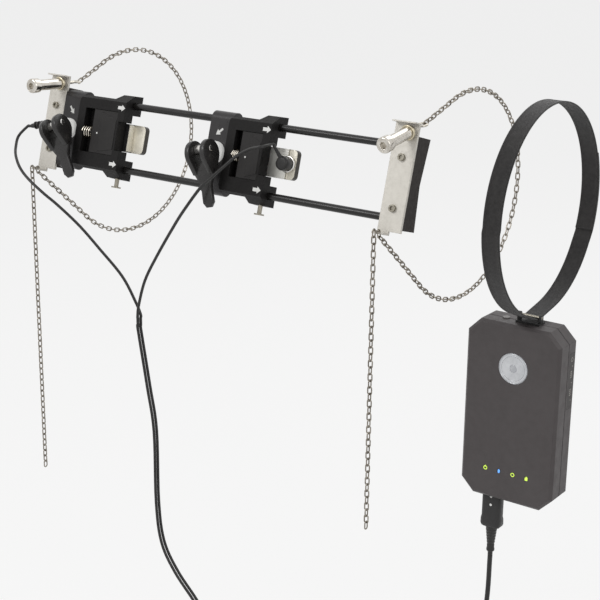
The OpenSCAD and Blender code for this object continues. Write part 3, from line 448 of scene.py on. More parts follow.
class Finishes:
    """Every finish of the meter, by the part that wears it."""

    plate = Finish("plate_aluminium", "plate_aluminium", (0.61, 0.585, 0.535), (0.55, 0.527, 0.48), 0.5,
                   0.08, 0.5, 30.0, Surface.BRUSHED_UP, 0.35, 0.02, 0.5, 0.3, (0.20, 0.185, 0.155))
    connector = Finish("connector_metal", "plate_aluminium", (0.86, 0.85, 0.80), (0.78, 0.77, 0.71), 0.45,
                       0.08, 0.15, 15.0, Surface.BRUSHED_ALONG, 0.3, 0.02, 0.4, 0.15)
    foot = Finish("foot_plastic", "foot_black", (0.031, 0.0265, 0.0245), (0.023, 0.0198, 0.0185), 0.6, 0.08,
                  edge=1.6, scuff=0.25, worn=(0.07, 0.06, 0.055), specular=0.2)
    pad = Finish("pad_rubber", "pad_rubber", (0.02, 0.02, 0.02), (0.03, 0.03, 0.03), 0.8)
    rail = Finish("rail_anodised", "rail_black", (0.006, 0.0055, 0.0052), (0.009, 0.0082, 0.0076), 0.25,
                  0.05, 0.0, 40.0, Surface.BRUSHED_ALONG, 0.6, 0.01, 0.3, 0.1, (0.05, 0.045, 0.04), 0.1,
                  specular=0.35)
    screw = Finish("screw_steel", "screw_steel", (0.34, 0.32, 0.27), (0.24, 0.22, 0.18), 0.3, 0.1, 1.0, 4.0,
                   Surface.SMOOTH, edge=0.5, scuff=0.3, worn=(0.10, 0.08, 0.06))
    rod = Finish("rod_steel", "rod_steel", (0.60, 0.57, 0.51), (0.48, 0.45, 0.39), 0.25, 0.07, 1.0, 8.0,
                 Surface.SMOOTH)
    nut = Finish("nut_bright", "nut_steel", (0.66, 0.63, 0.58), (0.48, 0.45, 0.40), 0.16, 0.05, 1.0, 12.0,
                 Surface.SMOOTH, edge=0.6, scuff=0.3, worn=(0.24, 0.20, 0.15))
    flange = Finish("flange_steel", "nut_steel", (0.62, 0.56, 0.42), (0.50, 0.44, 0.32), 0.28, 0.06, 1.0,
                    6.0, Surface.SMOOTH, edge=0.4, scuff=0.2, worn=(0.2, 0.16, 0.1))
    chain = Finish("chain_steel", "chain_steel", (0.36, 0.33, 0.285), (0.17, 0.15, 0.125), 0.3, 0.1, 1.0,
                   5.0, Surface.SMOOTH, edge=0.2, scuff=0.4, worn=(0.06, 0.05, 0.04))
    carrier = Finish("carrier_black", "carrier_black", (0.0105, 0.0097, 0.0094), (0.0082, 0.0076, 0.0075),
                     0.5, 0.07, 0.0, 20.0, Surface.MOULDED, 0.35, 0.02, 0.6, 0.15, (0.035, 0.032, 0.03),
                     specular=0.16)
    latch = Finish("latch_black", "carrier_black", (0.0190, 0.0176, 0.0172), (0.023, 0.0214, 0.0208), 0.4,
                   0.06, edge=0.5, scuff=0.1, worn=(0.04, 0.037, 0.035), specular=0.22)
    mount = Finish("mount_satin", "mount_black", (0.0280, 0.0258, 0.0268), (0.0215, 0.0198, 0.0208), 0.32,
                   0.06, 0.15, 20.0, Surface.BRUSHED_ALONG, 0.4, 0.015, 0.5, 0.12, (0.06, 0.06, 0.06),
                   specular=0.4)
    bracket = Finish("bracket_black", "mount_black", (0.015, 0.015, 0.015), (0.022, 0.022, 0.022), 0.45,
                     scuff=0.1, specular=0.3)
    spring = Finish("spring_bright", "spring_steel", (0.74, 0.70, 0.62), (0.62, 0.57, 0.48), 0.18, 0.05, 1.0,
                    4.0, Surface.SMOOTH, scuff=0.0)
    post = Finish("post_steel", "post_steel", (0.74, 0.73, 0.71), (0.62, 0.60, 0.57), 0.2, 0.06, 1.0, 6.0,
                  Surface.SMOOTH, edge=0.4, scuff=0.1)
    lever = Finish("lever_plastic", "lever_black", (0.024, 0.0225, 0.022), (0.018, 0.017, 0.0165), 0.3, 0.06,
                   0.0, 15.0, Surface.MOULDED, 0.7, 0.02, 0.5, 0.12, (0.07, 0.065, 0.06), 0.1, specular=0.4)
    # Painted light: the pressure disc glows so that its shaded side shows bright, though it is no lamp.
    disc = Finish("disc_white", "disc_white", (0.88, 0.88, 0.86), (0.82, 0.82, 0.80), 0.35, 0.05, glow=0.3,
                  scuff=0.08)
    base = Finish("sensor_metal", "sensor_metal", (0.88, 0.835, 0.72), (0.78, 0.735, 0.62), 0.42, 0.07, 0.15,
                  12.0, Surface.BRUSHED_UP, 0.3, 0.02, 0.6, 0.15, (0.2, 0.18, 0.14))
    # Painted shade: the transducer base is coloured dark for the shade on its sides, and SensorTop lays the
    # pale top over it.
    shaded_base_side = Finish("sensor_side_shade", "sensor_metal", (0.040, 0.033, 0.022), (0.028, 0.023, 0.016), 0.4,
                       0.07, edge=0.5, specular=0.4)
    shell = Finish("sensor_shell", "sensor_black", (0.026, 0.025, 0.026), (0.018, 0.017, 0.018), 0.45,
                   specular=0.35)
    rubber = Finish("cable_rubber", "cable_rubber", (0.011, 0.0105, 0.0105), (0.018, 0.017, 0.016), 0.4,
                    0.08, grain=0.8, relief=0.02, edge=0.2, scuff=0.15, worn=(0.07, 0.065, 0.06),
                    specular=0.4)
    plug = Finish("plug_plastic", "plug_black", (0.019, 0.018, 0.018), (0.025, 0.024, 0.024), 0.4, 0.06,
                  edge=0.6, specular=0.4)
    webbing = Finish("strap_webbing", "strap_fabric", (0.032, 0.029, 0.028), (0.020, 0.018, 0.018), 0.75,
                     0.08, surface=Surface.WOVEN, relief=0.35, edge=0.2, scuff=0.1, worn=(0.12, 0.11, 0.10),
                     specular=0.3)
    housing = Finish("housing_grey", "housing_grey", (0.069, 0.0605, 0.0610), (0.061, 0.053, 0.0535), 0.5,
                     0.06, 0.0, 60.0, Surface.MOULDED, 0.3, 0.025, 1.2, 0.08, (0.12, 0.11, 0.105),
                     specular=0.42)
    seal = Finish("seal_rubber", "seal_rubber", (0.012, 0.012, 0.012), (0.018, 0.018, 0.018), 0.7,
                  specular=0.3)
    port = Finish("port_rubber", "seal_rubber", (0.055, 0.050, 0.049), (0.045, 0.041, 0.040), 0.6, edge=0.3)
    button = Finish("button_grey", "seal_rubber", (0.22, 0.21, 0.2), (0.17, 0.16, 0.155), 0.4, edge=0.6)
    board = Finish("board_green", "board_green", (0.03, 0.19, 0.08), (0.02, 0.14, 0.06), 0.35)
    pack = Finish("pack_blue", "pack_blue", (0.05, 0.09, 0.25), (0.04, 0.07, 0.2), 0.3)
    lens = Finish("light_lens", "light_lens", (0.02, 0.02, 0.018), (0.03, 0.03, 0.025), 0.15, coat=0.5)
    badge = Finish("badge_silver", "badge_silver", (0.64, 0.65, 0.67), (0.54, 0.55, 0.57), 0.36, 0.06, 0.6,
                   10.0, Surface.BRUSHED_ALONG, 0.25, 0.02, 0.3, 0.05)
    badge_rim = Finish("badge_rim", "badge_silver", (0.52, 0.53, 0.55), (0.42, 0.43, 0.45), 0.2, 0.04, 1.0,
                       surface=Surface.SMOOTH, scuff=0.0)
    white_print = Finish("white_print", "disc_white", (0.84, 0.84, 0.82), (0.72, 0.72, 0.70), 0.5, edge=0.1,
                         scuff=0.2, worn=(0.3, 0.3, 0.3))
    grey_print = Finish("grey_print", "light_lens", (0.38, 0.36, 0.34), (0.28, 0.27, 0.25), 0.5, edge=0.1)
    green_light = Finish("green_light", "light_lens", (0.62, 0.86, 0.10), (0.62, 0.86, 0.10), 0.4, glow=0.6,
                         scuff=0.0)
    blue_light = Finish("blue_light", "light_lens", (0.12, 0.36, 0.90), (0.12, 0.36, 0.90), 0.4, glow=0.8,
                        scuff=0.0)


NODE_FINISHES: dict[str, Finish] = {
    "end_plate": Finishes.plate, "connector_plate": Finishes.connector, "foot_pads": Finishes.pad,
    "foot_": Finishes.foot, "rail_": Finishes.rail, "plate_screws": Finishes.screw,
    "housing_screws": Finishes.screw, "hanger_pin": Finishes.screw, "draw_rod": Finishes.rod,
    "tension_nut": Finishes.nut, "chain_": Finishes.chain, "carrier_": Finishes.carrier,
    "latch_plate": Finishes.latch, "lever_mount": Finishes.mount, "hanger_bracket": Finishes.bracket,
    "signal_socket": Finishes.bracket, "latch_spring": Finishes.spring, "cam_post": Finishes.post,
    # The pressure disc wears a painted glow.
    "lock_screw": Finishes.screw, "cam_lever": Finishes.lever, "pressure_disc": Finishes.disc,
    # The transducer base wears painted shade on its sides.
    "transducer_base": Finishes.shaded_base_side, "transducer_shell": Finishes.shell,
    "transducer_plug": Finishes.rubber, "plug_boot": Finishes.rubber, "cable_": Finishes.rubber,
    "strap": Finishes.webbing,
    "housing_seal": Finishes.seal, "housing_": Finishes.housing, "power_button": Finishes.button,
    "port_cover": Finishes.port, "main_board": Finishes.board, "battery_pack": Finishes.pack,
    "indicator_lights": Finishes.lens, "badge_disc": Finishes.badge, "signal_plug": Finishes.plug,
}


class Sculpt:
    """A mesh under way, in millimetres, that bmesh operators shape."""

    def __init__(self, place: Matrix | None = None) -> None:
        """Start an empty mesh.

        Args:
            place: Where its own frame lies in the object's frame.
        """
        self.bm = bmesh.new()
        self.place = place or Matrix()
        self.across = self.bm.verts.layers.float.new("across")
        self.along = self.bm.verts.layers.float.new("along")

    def _round(self, verts: Sequence[bmesh.types.BMVert], by: float, least: float = SHARP_EDGE) -> None:
        """Bevel the sharp edges among some vertices, where there is a radius.

        Args:
            verts: The vertices.
            by: Radius of the rounding.
            least: Smallest angle of an edge that counts as sharp.
        """
        if not by:
            return
        edges = {e for v in verts if v.is_valid for e in v.link_edges}
        sharp = [e for e in edges if len(e.link_faces) == 2 and e.calc_face_angle(0.0) > math.radians(least)]
        bmesh.ops.bevel(self.bm, geom=sharp, offset=by, offset_type="OFFSET", affect="EDGES", segments=2,
                        profile=0.5, material=-1, clamp_overlap=True)

    def block(self, low: Point, high: Point, round_by: float = 0.0) -> None:
        """Add a box with rounded edges.

        Args:
            low: Its lowest corner.
            high: Its highest corner.
            round_by: Radius of its edges.
        """
        verts = bmesh.ops.create_cube(self.bm, size=1.0)["verts"]
        bmesh.ops.scale(self.bm, vec=Vector(high) - Vector(low), verts=verts)
        bmesh.ops.translate(self.bm, vec=(Vector(high) + Vector(low)) / 2, verts=verts)
        self._round(verts, round_by)

    def rod(self, start: Point, end: Point, radius: float, sides: int = 32, round_by: float = 0.0) -> None:
        """Add a cylinder between two points.

        Args:
            start: Middle of its first face.
            end: Middle of its second face.
            radius: Its radius.
            sides: Sides round it.
            round_by: Radius of its rims.
        """
        a, b = Vector(start), Vector(end)
        turn = (b - a).to_track_quat("Z", "Y").to_matrix().to_4x4()
        verts = bmesh.ops.create_cone(self.bm, cap_ends=True, cap_tris=False, segments=sides, radius1=radius,
                                      radius2=radius, depth=(b - a).length,
                                      matrix=Matrix.Translation((a + b) / 2) @ turn)["verts"]
        self._round(verts, round_by, 60.0)

    def slab(self, outline: Outline, low: float, high: float, place: Matrix | None = None,
             round_by: float = 0.0) -> None:
        """Extrude an outline from one height to another.

        Args:
            outline: Its points, counted round.
            low: Height of its lower face.
            high: Height of its upper face.
            place: Turn and place before the sculpt's own.
            round_by: Radius of its edges.
        """
        verts = [self.bm.verts.new((x, y, low)) for x, y in outline]
        face = self.bm.faces.new(verts)
        grown = bmesh.ops.extrude_face_region(self.bm, geom=[face])["geom"]
        top = [g for g in grown if isinstance(g, bmesh.types.BMVert)]
        bmesh.ops.translate(self.bm, vec=(0.0, 0.0, high - low), verts=top)
        if place is not None:
            bmesh.ops.transform(self.bm, matrix=place, verts=verts + top)
        self._round(verts + top, round_by)

    def hull(self, points: Sequence[Point], round_by: float = 0.0) -> None:
        """Add the convex shape round some points.

        Args:
            points: The points.
            round_by: Radius of its sharp edges.
        """
        verts = [self.bm.verts.new(p) for p in points]
        made = bmesh.ops.convex_hull(self.bm, input=verts, use_existing_faces=False)
        inner = [g for g in made["geom_interior"] if isinstance(g, bmesh.types.BMVert)]
        bmesh.ops.delete(self.bm, geom=inner, context="VERTS")
        kept = [v for v in verts if v.is_valid]
        edges = list({e for v in kept for e in v.link_edges})
        bmesh.ops.dissolve_limit(self.bm, angle_limit=math.radians(1.0), verts=kept, edges=edges)
        self._round(kept, round_by)

    def torus(self, radius: float, wire: float, place: Matrix | None, steps: int) -> None:
        """Add a ring of round wire.

        Args:
            radius: Radius of the wire's middle line.
            wire: Radius of the wire.
            place: Turn and place before the sculpt's own.
            steps: Steps round the ring.
        """
        self.ring([(radius + x, y) for x, y in circle(wire, 12)], place, steps)

    def ring(self, section: Outline, place: Matrix | None, steps: int) -> None:
        """Spin a closed section round the Z axis.

        Args:
            section: Radius and height of the section's points.
            place: Turn and place before the sculpt's own.
            steps: Steps round the ring.
        """
        before = set(self.bm.verts)
        verts = [self.bm.verts.new((x, 0.0, z)) for x, z in section]
        edges = [self.bm.edges.new((a, b)) for a, b in zip(verts, [*verts[1:], verts[0]])]
        bmesh.ops.spin(self.bm, geom=verts + edges, cent=(0, 0, 0), axis=(0, 0, 1), dvec=(0, 0, 0),
                       angle=math.tau, steps=steps, use_merge=True, use_duplicate=False)
        if place is not None:
            bmesh.ops.transform(self.bm, matrix=place, verts=[v for v in self.bm.verts if v not in before])

    def sweep(self, section: Outline, frames: Sequence[Matrix], scales: Outline) -> None:
        """Draw a closed section along a row of frames and cap its ends.

        Args:
            section: The section's points in a frame's X and Y.
            frames: A frame for each station, with Z along the way.
            scales: The section's scale in X and Y at each station.
        """
        girth, walked = [0.0], 0.0
        for a, b in zip(section, [*section[1:], section[0]]):
            girth.append(girth[-1] + math.dist(a, b))
        ring = [self.bm.verts.new((x, y, 0.0)) for x, y in section]
        edges = [self.bm.edges.new((a, b)) for a, b in zip(ring, [*ring[1:], ring[0]])]
        first, spot = list(edges), None
        for index, (station, scale) in enumerate(zip(frames, scales)):
            if index:
                grown = bmesh.ops.extrude_edge_only(self.bm, edges=edges)["geom"]
                fresh = {v for v in grown if isinstance(v, bmesh.types.BMVert)}
                ring = [next(e.other_vert(v) for e in v.link_edges if e.other_vert(v) in fresh) for v in ring]
                edges = [e for e in grown if isinstance(e, bmesh.types.BMEdge)
                         and all(v in fresh for v in e.verts)]
                walked += (station.translation - spot).length
            spot = station.translation.copy()
            for count, (vert, (x, y)) in enumerate(zip(ring, section)):
                vert.co = station @ Vector((x * scale[0], y * scale[1], 0.0))
                vert[self.across], vert[self.along] = girth[count], walked
        bmesh.ops.contextual_create(self.bm, geom=first)
        bmesh.ops.contextual_create(self.bm, geom=edges)

    def lathe(self, profile: Outline, place: Matrix, sides: int) -> None:
        """Sweep a circle along a straight axis with the radii of a profile.

        Args:
            profile: Distance along the axis and radius of each station.
            place: Frame whose Z is the axis.
            sides: Sides round it.
        """
        self.sweep(circle(1.0, sides), [place @ Matrix.Translation((0.0, 0.0, z)) for z, _ in profile],
                   [(r, r) for _, r in profile])

    def done(self, name: str, smooth_under: float = 35.0) -> bpy.types.Object:
        """Turn the sculpt into an object at the origin.

        Args:
            name: The piece's name.
            smooth_under: Edges flatter than this angle are shaded smooth.

        Returns:
            The object, linked to the scene.
        """
        bmesh.ops.recalc_face_normals(self.bm, faces=self.bm.faces)
        bmesh.ops.transform(self.bm, matrix=Matrix.Scale(MM, 4) @ self.place, verts=self.bm.verts)
        cloth = self.bm.loops.layers.uv.new("cloth")
        for face in self.bm.faces:
            face.smooth = True
            for loop in face.loops:
                loop[cloth].uv = (loop.vert[self.across], loop.vert[self.along])
        for edge in self.bm.edges:
            edge.smooth = edge.calc_face_angle(0.0) < math.radians(smooth_under)
        mesh = bpy.data.meshes.new(name)
        self.bm.to_mesh(mesh)
        self.bm.free()
        return placed(name, mesh)


def placed(name: str, data: bpy.types.ID) -> bpy.types.Object:
    """Make an object from its data and link it to the scene.

    Args:
        name: The object's name.
        data: Its mesh, light or camera.

    Returns:
        The object.
    """
    made = bpy.data.objects.new(name, data)
    bpy.context.scene.collection.objects.link(made)
    return made


def circle(radius: float, sides: int) -> Outline:
    """Points round a circle."""
    return [(radius * math.cos(2 * math.pi * k / sides), radius * math.sin(2 * math.pi * k / sides))
            for k in range(sides)]


def mirrored(upper: Sequence[Pair]) -> Outline:
    """An outline whose lower half mirrors its upper half."""
    return [*upper, *((x, -y) for x, y in reversed(upper))]


def turned(degrees: float, axis: str) -> Matrix:
    """A turn by some degrees round an axis."""
    return Matrix.Rotation(math.radians(degrees), 4, axis)


def smooth_route(points: Sequence[Point | Vector], steps: int) -> list[Vector]:
    """Points on a smooth curve through a route.

    Args:
        points: The route's own points.
        steps: Steps from each to the next.

    Returns:
        The curve's points.
    """
    p = [Vector(q) for q in points]
    last = len(p) - 1
    curve = []
    for i in range(last):
        a, b, c, d = p[max(i - 1, 0)], p[i], p[i + 1], p[min(i + 2, last)]
        for k in range(steps):
            t = k / steps
            curve.append(b + (c - a) / 2 * t + (2 * a - 5 * b + 4 * c - d) / 2 * t ** 2
                         + (3 * (b - c) + d - a) / 2 * t ** 3)
    return [*curve, p[last]]


@dataclass
class Assembly:
    """What every sub-assembly shares: it adds finished pieces to bodies.

    Attributes:
        effects: The shared node groups.
    """

    effects: Effects

    def add(self, made: bpy.types.Object, body: str, finish: Finish, replaces: Sequence[str] = (),
            bend: Bend | None = None) -> bpy.types.Object:
        """Give a piece its finish and, unless it has a bend, its body; hide the nodes that it stands for.

        Args:
            made: The piece.
            body: The body that carries it.
            finish: Its finish.
            replaces: CAD nodes that it replaces.
            bend: The second body, and the points between which the piece would pass to it; if given, the
                piece is left on no body.

        Returns:
            The piece.
        """
        made.data.materials.append(finish.build(self.effects))
        if bend:
            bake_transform(made)
        else:
            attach(made, body)
        if replaces:
            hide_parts(*replaces)
        LOG.info("%s rides on %s", made.name, body)
        return made


@dataclass
class Solids(Assembly):
    """The CAD nodes, which keep their shape and get a finish."""

    def build(self) -> None:
        """Dress every node by the longest matching start of its name."""
        for name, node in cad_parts.items():
            start = max((s for s in NODE_FINISHES if name.startswith(s)), key=len)
            node.data.materials.clear()
            node.data.materials.append(NODE_FINISHES[start].build(self.effects))
            LOG.info("%s wears %s", name, NODE_FINISHES[start].name)


@dataclass
class Camera:
    """The camera at the photograph's viewing angle."""

    spot: Point = (972.9, -1310.52, 348.44)
    azimuth: float = 35.75
    elevation: float = 17.40
    roll: float = 0.64
    focal_px: float = 1434.92
    frame_px: float = 600.0
    sensor: float = 36.0
    near_m: float = 0.05
    far_m: float = 60.0

    def build(self) -> None:
        """Place the camera and make it the scene's."""
        a, e, r = (math.radians(v) for v in (self.azimuth, self.elevation, self.roll))
        ahead = Vector((-math.sin(a) * math.cos(e), math.cos(a) * math.cos(e), -math.sin(e)))
        right = Vector((math.cos(a), math.sin(a), 0.0))
        up = right.cross(ahead)
        rolled = right * math.cos(r) + up * math.sin(r)
        top = up * math.cos(r) - right * math.sin(r)
        data = bpy.data.cameras.new("photo_camera")
        data.sensor_width = self.sensor
        data.lens = self.focal_px / self.frame_px * self.sensor
        data.clip_start, data.clip_end = self.near_m, self.far_m
        camera = placed("photo_camera", data)
        turn = Matrix((rolled, top, -ahead)).transposed().to_4x4()
        camera.matrix_world = Matrix.Translation(Vector(self.spot) * MM) @ turn
        bpy.context.scene.camera = camera


@dataclass(frozen=True)
class Lamp:
    """A soft square lamp, with its power in watts."""

    name: str
    spot_m: Point
    power: float
    size_m: float


@dataclass
class Studio:
    """A plain pale floor, a pale world and soft lamps."""

    floor_z_m: float = -0.72
    floor_half_m: float = 25.0
    floor_colour: Colour = (0.86, 0.86, 0.855)
    floor_glow: float = 0.75
    world_light: float = 0.5
    aim_m: Point = (0.0, 0.0, -0.1)
    lamps: tuple[Lamp, ...] = (
        Lamp("key_lamp", (-1.1, -2.2, 2.0), 30.0, 1.2),
        Lamp("side_lamp", (2.4, -1.0, 1.2), 12.0, 1.4),
        Lamp("back_lamp", (0.2, 1.8, 1.8), 14.0, 1.6),
    )

    def build(self) -> None:
        """Make the floor, the world and the lamps."""
        bm = bmesh.new()
        bmesh.ops.create_grid(bm, x_segments=1, y_segments=1, size=self.floor_half_m,
                              matrix=Matrix.Translation((0.0, 0.0, self.floor_z_m)))
        mesh = bpy.data.meshes.new("studio_floor")
        bm.to_mesh(mesh)
        bm.free()
        mesh.materials.append(self._floor_material())
        placed("studio_floor", mesh)
        self._world()
        for lamp in self.lamps:
            data = bpy.data.lights.new(lamp.name, "AREA")
            data.energy, data.size = lamp.power, lamp.size_m
            made = placed(lamp.name, data)
            made.location = lamp.spot_m
            toward = Vector(self.aim_m) - Vector(lamp.spot_m)
            made.rotation_euler = toward.to_track_quat("-Z", "Y").to_euler()
        bpy.context.scene.view_settings.view_transform = "Standard"

    @staticmethod
    def _seen(tree: Tree) -> bpy.types.NodeSocket:
        """One where a ray from the camera, or through gloss or glass, lands.

        Args:
            tree: The tree to add to.

        Returns:
            The socket with that mask.
        """
        path = tree.add("ShaderNodeLightPath")
        most = tree.maths("MAXIMUM", path.outputs["Is Camera Ray"], path.outputs["Is Glossy Ray"])
        return tree.maths("MAXIMUM", most, path.outputs["Is Transmission Ray"])

    def _floor_material(self) -> bpy.types.Material:
        """Pale matt floor that shows nearly white and keeps the shadow.

        Returns:
            The material.
        """
        material = bpy.data.materials.new("studio_floor")
        tree = fresh_tree(material)
        matt = tree.add("ShaderNodeBsdfDiffuse", {"Color": (*self.floor_colour, 1.0)})
        glow = tree.add("ShaderNodeEmission", {"Color": WHITE, "Strength": 1.0})
        share = tree.maths("MULTIPLY", self._seen(tree), self.floor_glow)
        mix = tree.add("ShaderNodeMixShader", {0: share, 1: matt.outputs[0], 2: glow.outputs[0]})
        tree.add("ShaderNodeOutputMaterial", {"Surface": mix.outputs[0]})
        return material

    def _world(self) -> None:
        """A pale world that lights softly and shows white."""
        world = bpy.data.worlds.new("studio_world")
        bpy.context.scene.world = world
        tree = fresh_tree(world)
        light = tree.add("ShaderNodeBackground", {"Color": WHITE, "Strength": self.world_light})
        shown = tree.add("ShaderNodeBackground", {"Color": WHITE, "Strength": 1.0})
        both = {0: self._seen(tree), 1: light.outputs[0], 2: shown.outputs[0]}
        mix = tree.add("ShaderNodeMixShader", both)
        tree.add("ShaderNodeOutputWorld", {"Surface": mix.outputs[0]})


@dataclass
class Leads(Assembly):
    """The transducer leads, their paired run and the trunk to the transmitter."""

    lead_d: float = 3.4
    trunk_d: float = 5.5
    side_step: float = 5.0
    curve_steps: int = 6
    bevel_steps: int = 4
    boot_start: Point = (-258.0, 2.0, BASE_TOP + 4.1)
    outlet_start: Point = (94.0, 0.0, BASE_TOP + 9.0)
    outlet_len: float = 17.5
    trunk_exit: Point = (305.0, -14.9654, -392.8059)
    left_route: Route = (
        (-297, -128, 18), (-291, -139, 8), (-278, -152, 0), (-259, -164, -10), (-239, -170, -20),
        (-216, -170, -33), (-196, -166, -46), (-169, -160, -67), (-142, -156, -91), (-112, -152, -119),
        (-94, -150, -147), (-87, -150, -160), (-87, -150, -164.5))
    right_route: Route = (
        (86, -147, 56), (74, -152, 53), (62, -157, 46), (51, -162, 36), (35, -169, 20), (21, -171, 7),
        (0, -172, -19), (-18, -168, -40), (-48, -163, -80), (-70, -160, -114), (-83, -157, -146),
        (-87, -155, -160), (-87, -155, -164.5), (-87, -155, -169))
    pair_route: Route = (
        (-87, -150, -169), (-87, -150, -173.5), (-87, -150, -178), (-75, -150, -244), (-66, -150, -298),
        (-65, -150, -387), (-58, -150, -437), (-38, -150, -470), (-8, -150, -500), (25, -148, -540),
        (52, -144, -590), (76, -141, -621), (95, -140, -630), (102.5, -140, -630), (110, -140, -630))
    trunk_route: Route = (
        (304, -15, -456), (300, -22, -515), (286, -45, -565), (255, -82, -602), (215, -118, -622),
        (178, -141, -630), (161, -142.5, -630), (153.5, -142.5, -630), (146, -142.5, -630))

    def _hang(self, name: str, route: Sequence[Point | Vector], diameter: float, body: str,
              replaces: Sequence[str] = (), bend: Bend | None = None, far_end: str = "object",
              stiffness: str = "limp", carried: Sequence[str] = ()) -> None:
        """Args:
            name: The piece's name.
            route: The route's own points.
            diameter: The tube's diameter.
            body: The body that carries its start.
            replaces: CAD nodes that it replaces.
            bend: The body of its end, and the points between which it would pass to it; given to add, which
                then leaves the lead on no body.
            far_end: What is on its end; not used.
            stiffness: How stiff it is; not used.
            carried: The separate pieces on it; not used.
        """
        points = smooth_route(route, self.curve_steps)
        data = bpy.data.curves.new(f"{name}_line", "CURVE")
        data.dimensions = "3D"
        data.bevel_depth = diameter / 2 * MM
        data.bevel_resolution = self.bevel_steps
        data.use_fill_caps = True
        spline = data.splines.new("POLY")
        spline.points.add(len(points) - 1)
        for spot, point in zip(spline.points, points):
            spot.co = (*(point * MM), 1.0)
        line = bpy.data.objects.new(f"{name}_line", data)
        made = placed(name, bpy.data.meshes.new_from_object(line))
        bpy.data.objects.remove(line)
        made.data.shade_smooth()
        self.add(made, body, Finishes.rubber, replaces, bend)

    @staticmethod
    def _straight_out(end: Vector, out: Vector, diameter: float) -> list[Vector]:
        """The exit point and two more, a diameter apart, straight out of it."""
        return [end + i * diameter * out for i in range(3)]

    def build(self) -> None:
        turn = math.radians(BOOT_TURN)
        out = FIXTURE @ Vector((-math.cos(turn), -math.sin(turn), 0.0))
        end = FIXTURE @ Vector(self.boot_start) + BOOT_LEN * out
        boot = self._straight_out(end, out, self.lead_d)
        turn, tip = math.radians(OUTLET_TURN), math.radians(OUTLET_TIP)
        level = math.cos(tip)
        out = FIXTURE @ Vector((-math.sin(turn) * level, math.cos(turn) * level, math.sin(tip)))
        end = FIXTURE @ Vector(self.outlet_start) + self.outlet_len * out
        outlet = self._straight_out(end, out, self.lead_d)
        trunk = self._straight_out(Vector(self.trunk_exit), Vector((0.0, 0.0, -1.0)), self.trunk_d)
        meet = self.pair_route[0]
        self._hang("left_lead", [*boot, *self.left_route, *self.pair_route], self.lead_d, "carrier_left",
                   ("cable_left", "cable_pair"), ("root", self.left_route[0], meet), "fitting",
                   carried=["cable_joint"])
        self._hang("right_lead_upper", [*outlet, *self.right_route], self.lead_d, "carrier_right",
                   ("cable_right",), ("root", self.right_route[2], meet))
        self._hang("right_lead_lower", [(x, y - self.side_step, z) for x, y, z in self.pair_route],
                   self.lead_d, "root")
        self._hang("trunk_lead", [*trunk, *self.trunk_route], self.trunk_d, "housing", ("cable_trunk",),
                   ("root", self.trunk_route[0], self.trunk_route[5]), stiffness="medium")


@dataclass
class Strap(Assembly):
    """The woven strap, once round its seat, through the hanger and over its own end.

    Attributes:
        selvedge: Distance from the edge, and share of the half thickness there.
    """

    middle: float = 336.5
    width: float = 20.0
    thick: float = 1.6
    pin_drop: float = 113.15
    drop_angle: float = 7.6
    loop_r: float = 1.9
    loop_steps: int = 12
    lap_from: float = 75.0
    lap: float = 45.0
    climb: float = 7.0
    step: float = 2.5
    selvedge: tuple[Pair, ...] = ((0.0, 0.55), (0.3, 0.95), (1.5, 1.0), (1.9, 0.82))

    @staticmethod
    def _arc(start: float, end: float, count: int, radius: float, drop: float) -> list[Point]:
        """Evenly spaced angles, each with its radius and the drop of its centre."""
        return [(start + k * (end - start) / count, radius, drop) for k in range(count + 1)]

    def _stations(self) -> list[tuple[Vector, Vector]]:
        """Points of the strap's middle line with their outward normals, from its hidden end round."""
        big, small = SEAT_R + self.thick / 2, self.loop_r + self.thick / 2
        spread = math.degrees(math.acos((SEAT_R - self.loop_r) / self.pin_drop))
        low, high, far = self.lap_from, self.lap_from + self.lap, 360.0 - spread
        rows = [*self._arc(low, far, round((far - low) / self.step), big, 0.0),
                *self._arc(-spread, spread, self.loop_steps, small, self.pin_drop),
                *self._arc(spread, low, round((low - spread) / self.step), big, 0.0),
                *self._arc(low, high, round(self.lap / self.step), big, 0.0)[1:]]
        stations = []
        for index, (angle, radius, drop) in enumerate(rows):
            past = index > len(rows) / 2 and drop == 0.0
            rise = min(max((angle - low + self.climb) / self.climb, 0.0), 1.0) if past else 0.0
            way = Vector((0.0, math.sin(math.radians(angle)), -math.cos(math.radians(angle))))
            stations.append((way * (radius + rise * self.thick) - Vector((0.0, 0.0, drop)), way))
        return stations

    def build(self) -> None:
        """Sweep the webbing's section along the stations."""
        top = [(self.width / 2 - inset, share) for inset, share in self.selvedge]
        flat, thin = top[-1]
        inner = [(flat * k / 2, thin) for k in (1, 0, -1)]
        section = mirrored([*top, *inner, *((-x, y) for x, y in reversed(top))])
        stations = self._stations()
        side = Vector((1.0, 0.0, 0.0))
        frames = [Matrix.Translation(spot) @ Matrix((side, out, side.cross(out))).transposed().to_4x4()
                  for spot, out in stations]
        sculpt = Sculpt(Matrix.Translation((self.middle, 0.0, 0.0)) @ turned(-self.drop_angle, "X"))
        sculpt.sweep(section, frames, [(1.0, self.thick / 2)] * len(frames))
        made = self.add(sculpt.done("strap_webbing", ROUND_FORMS), "root", Finishes.webbing, ("strap",))


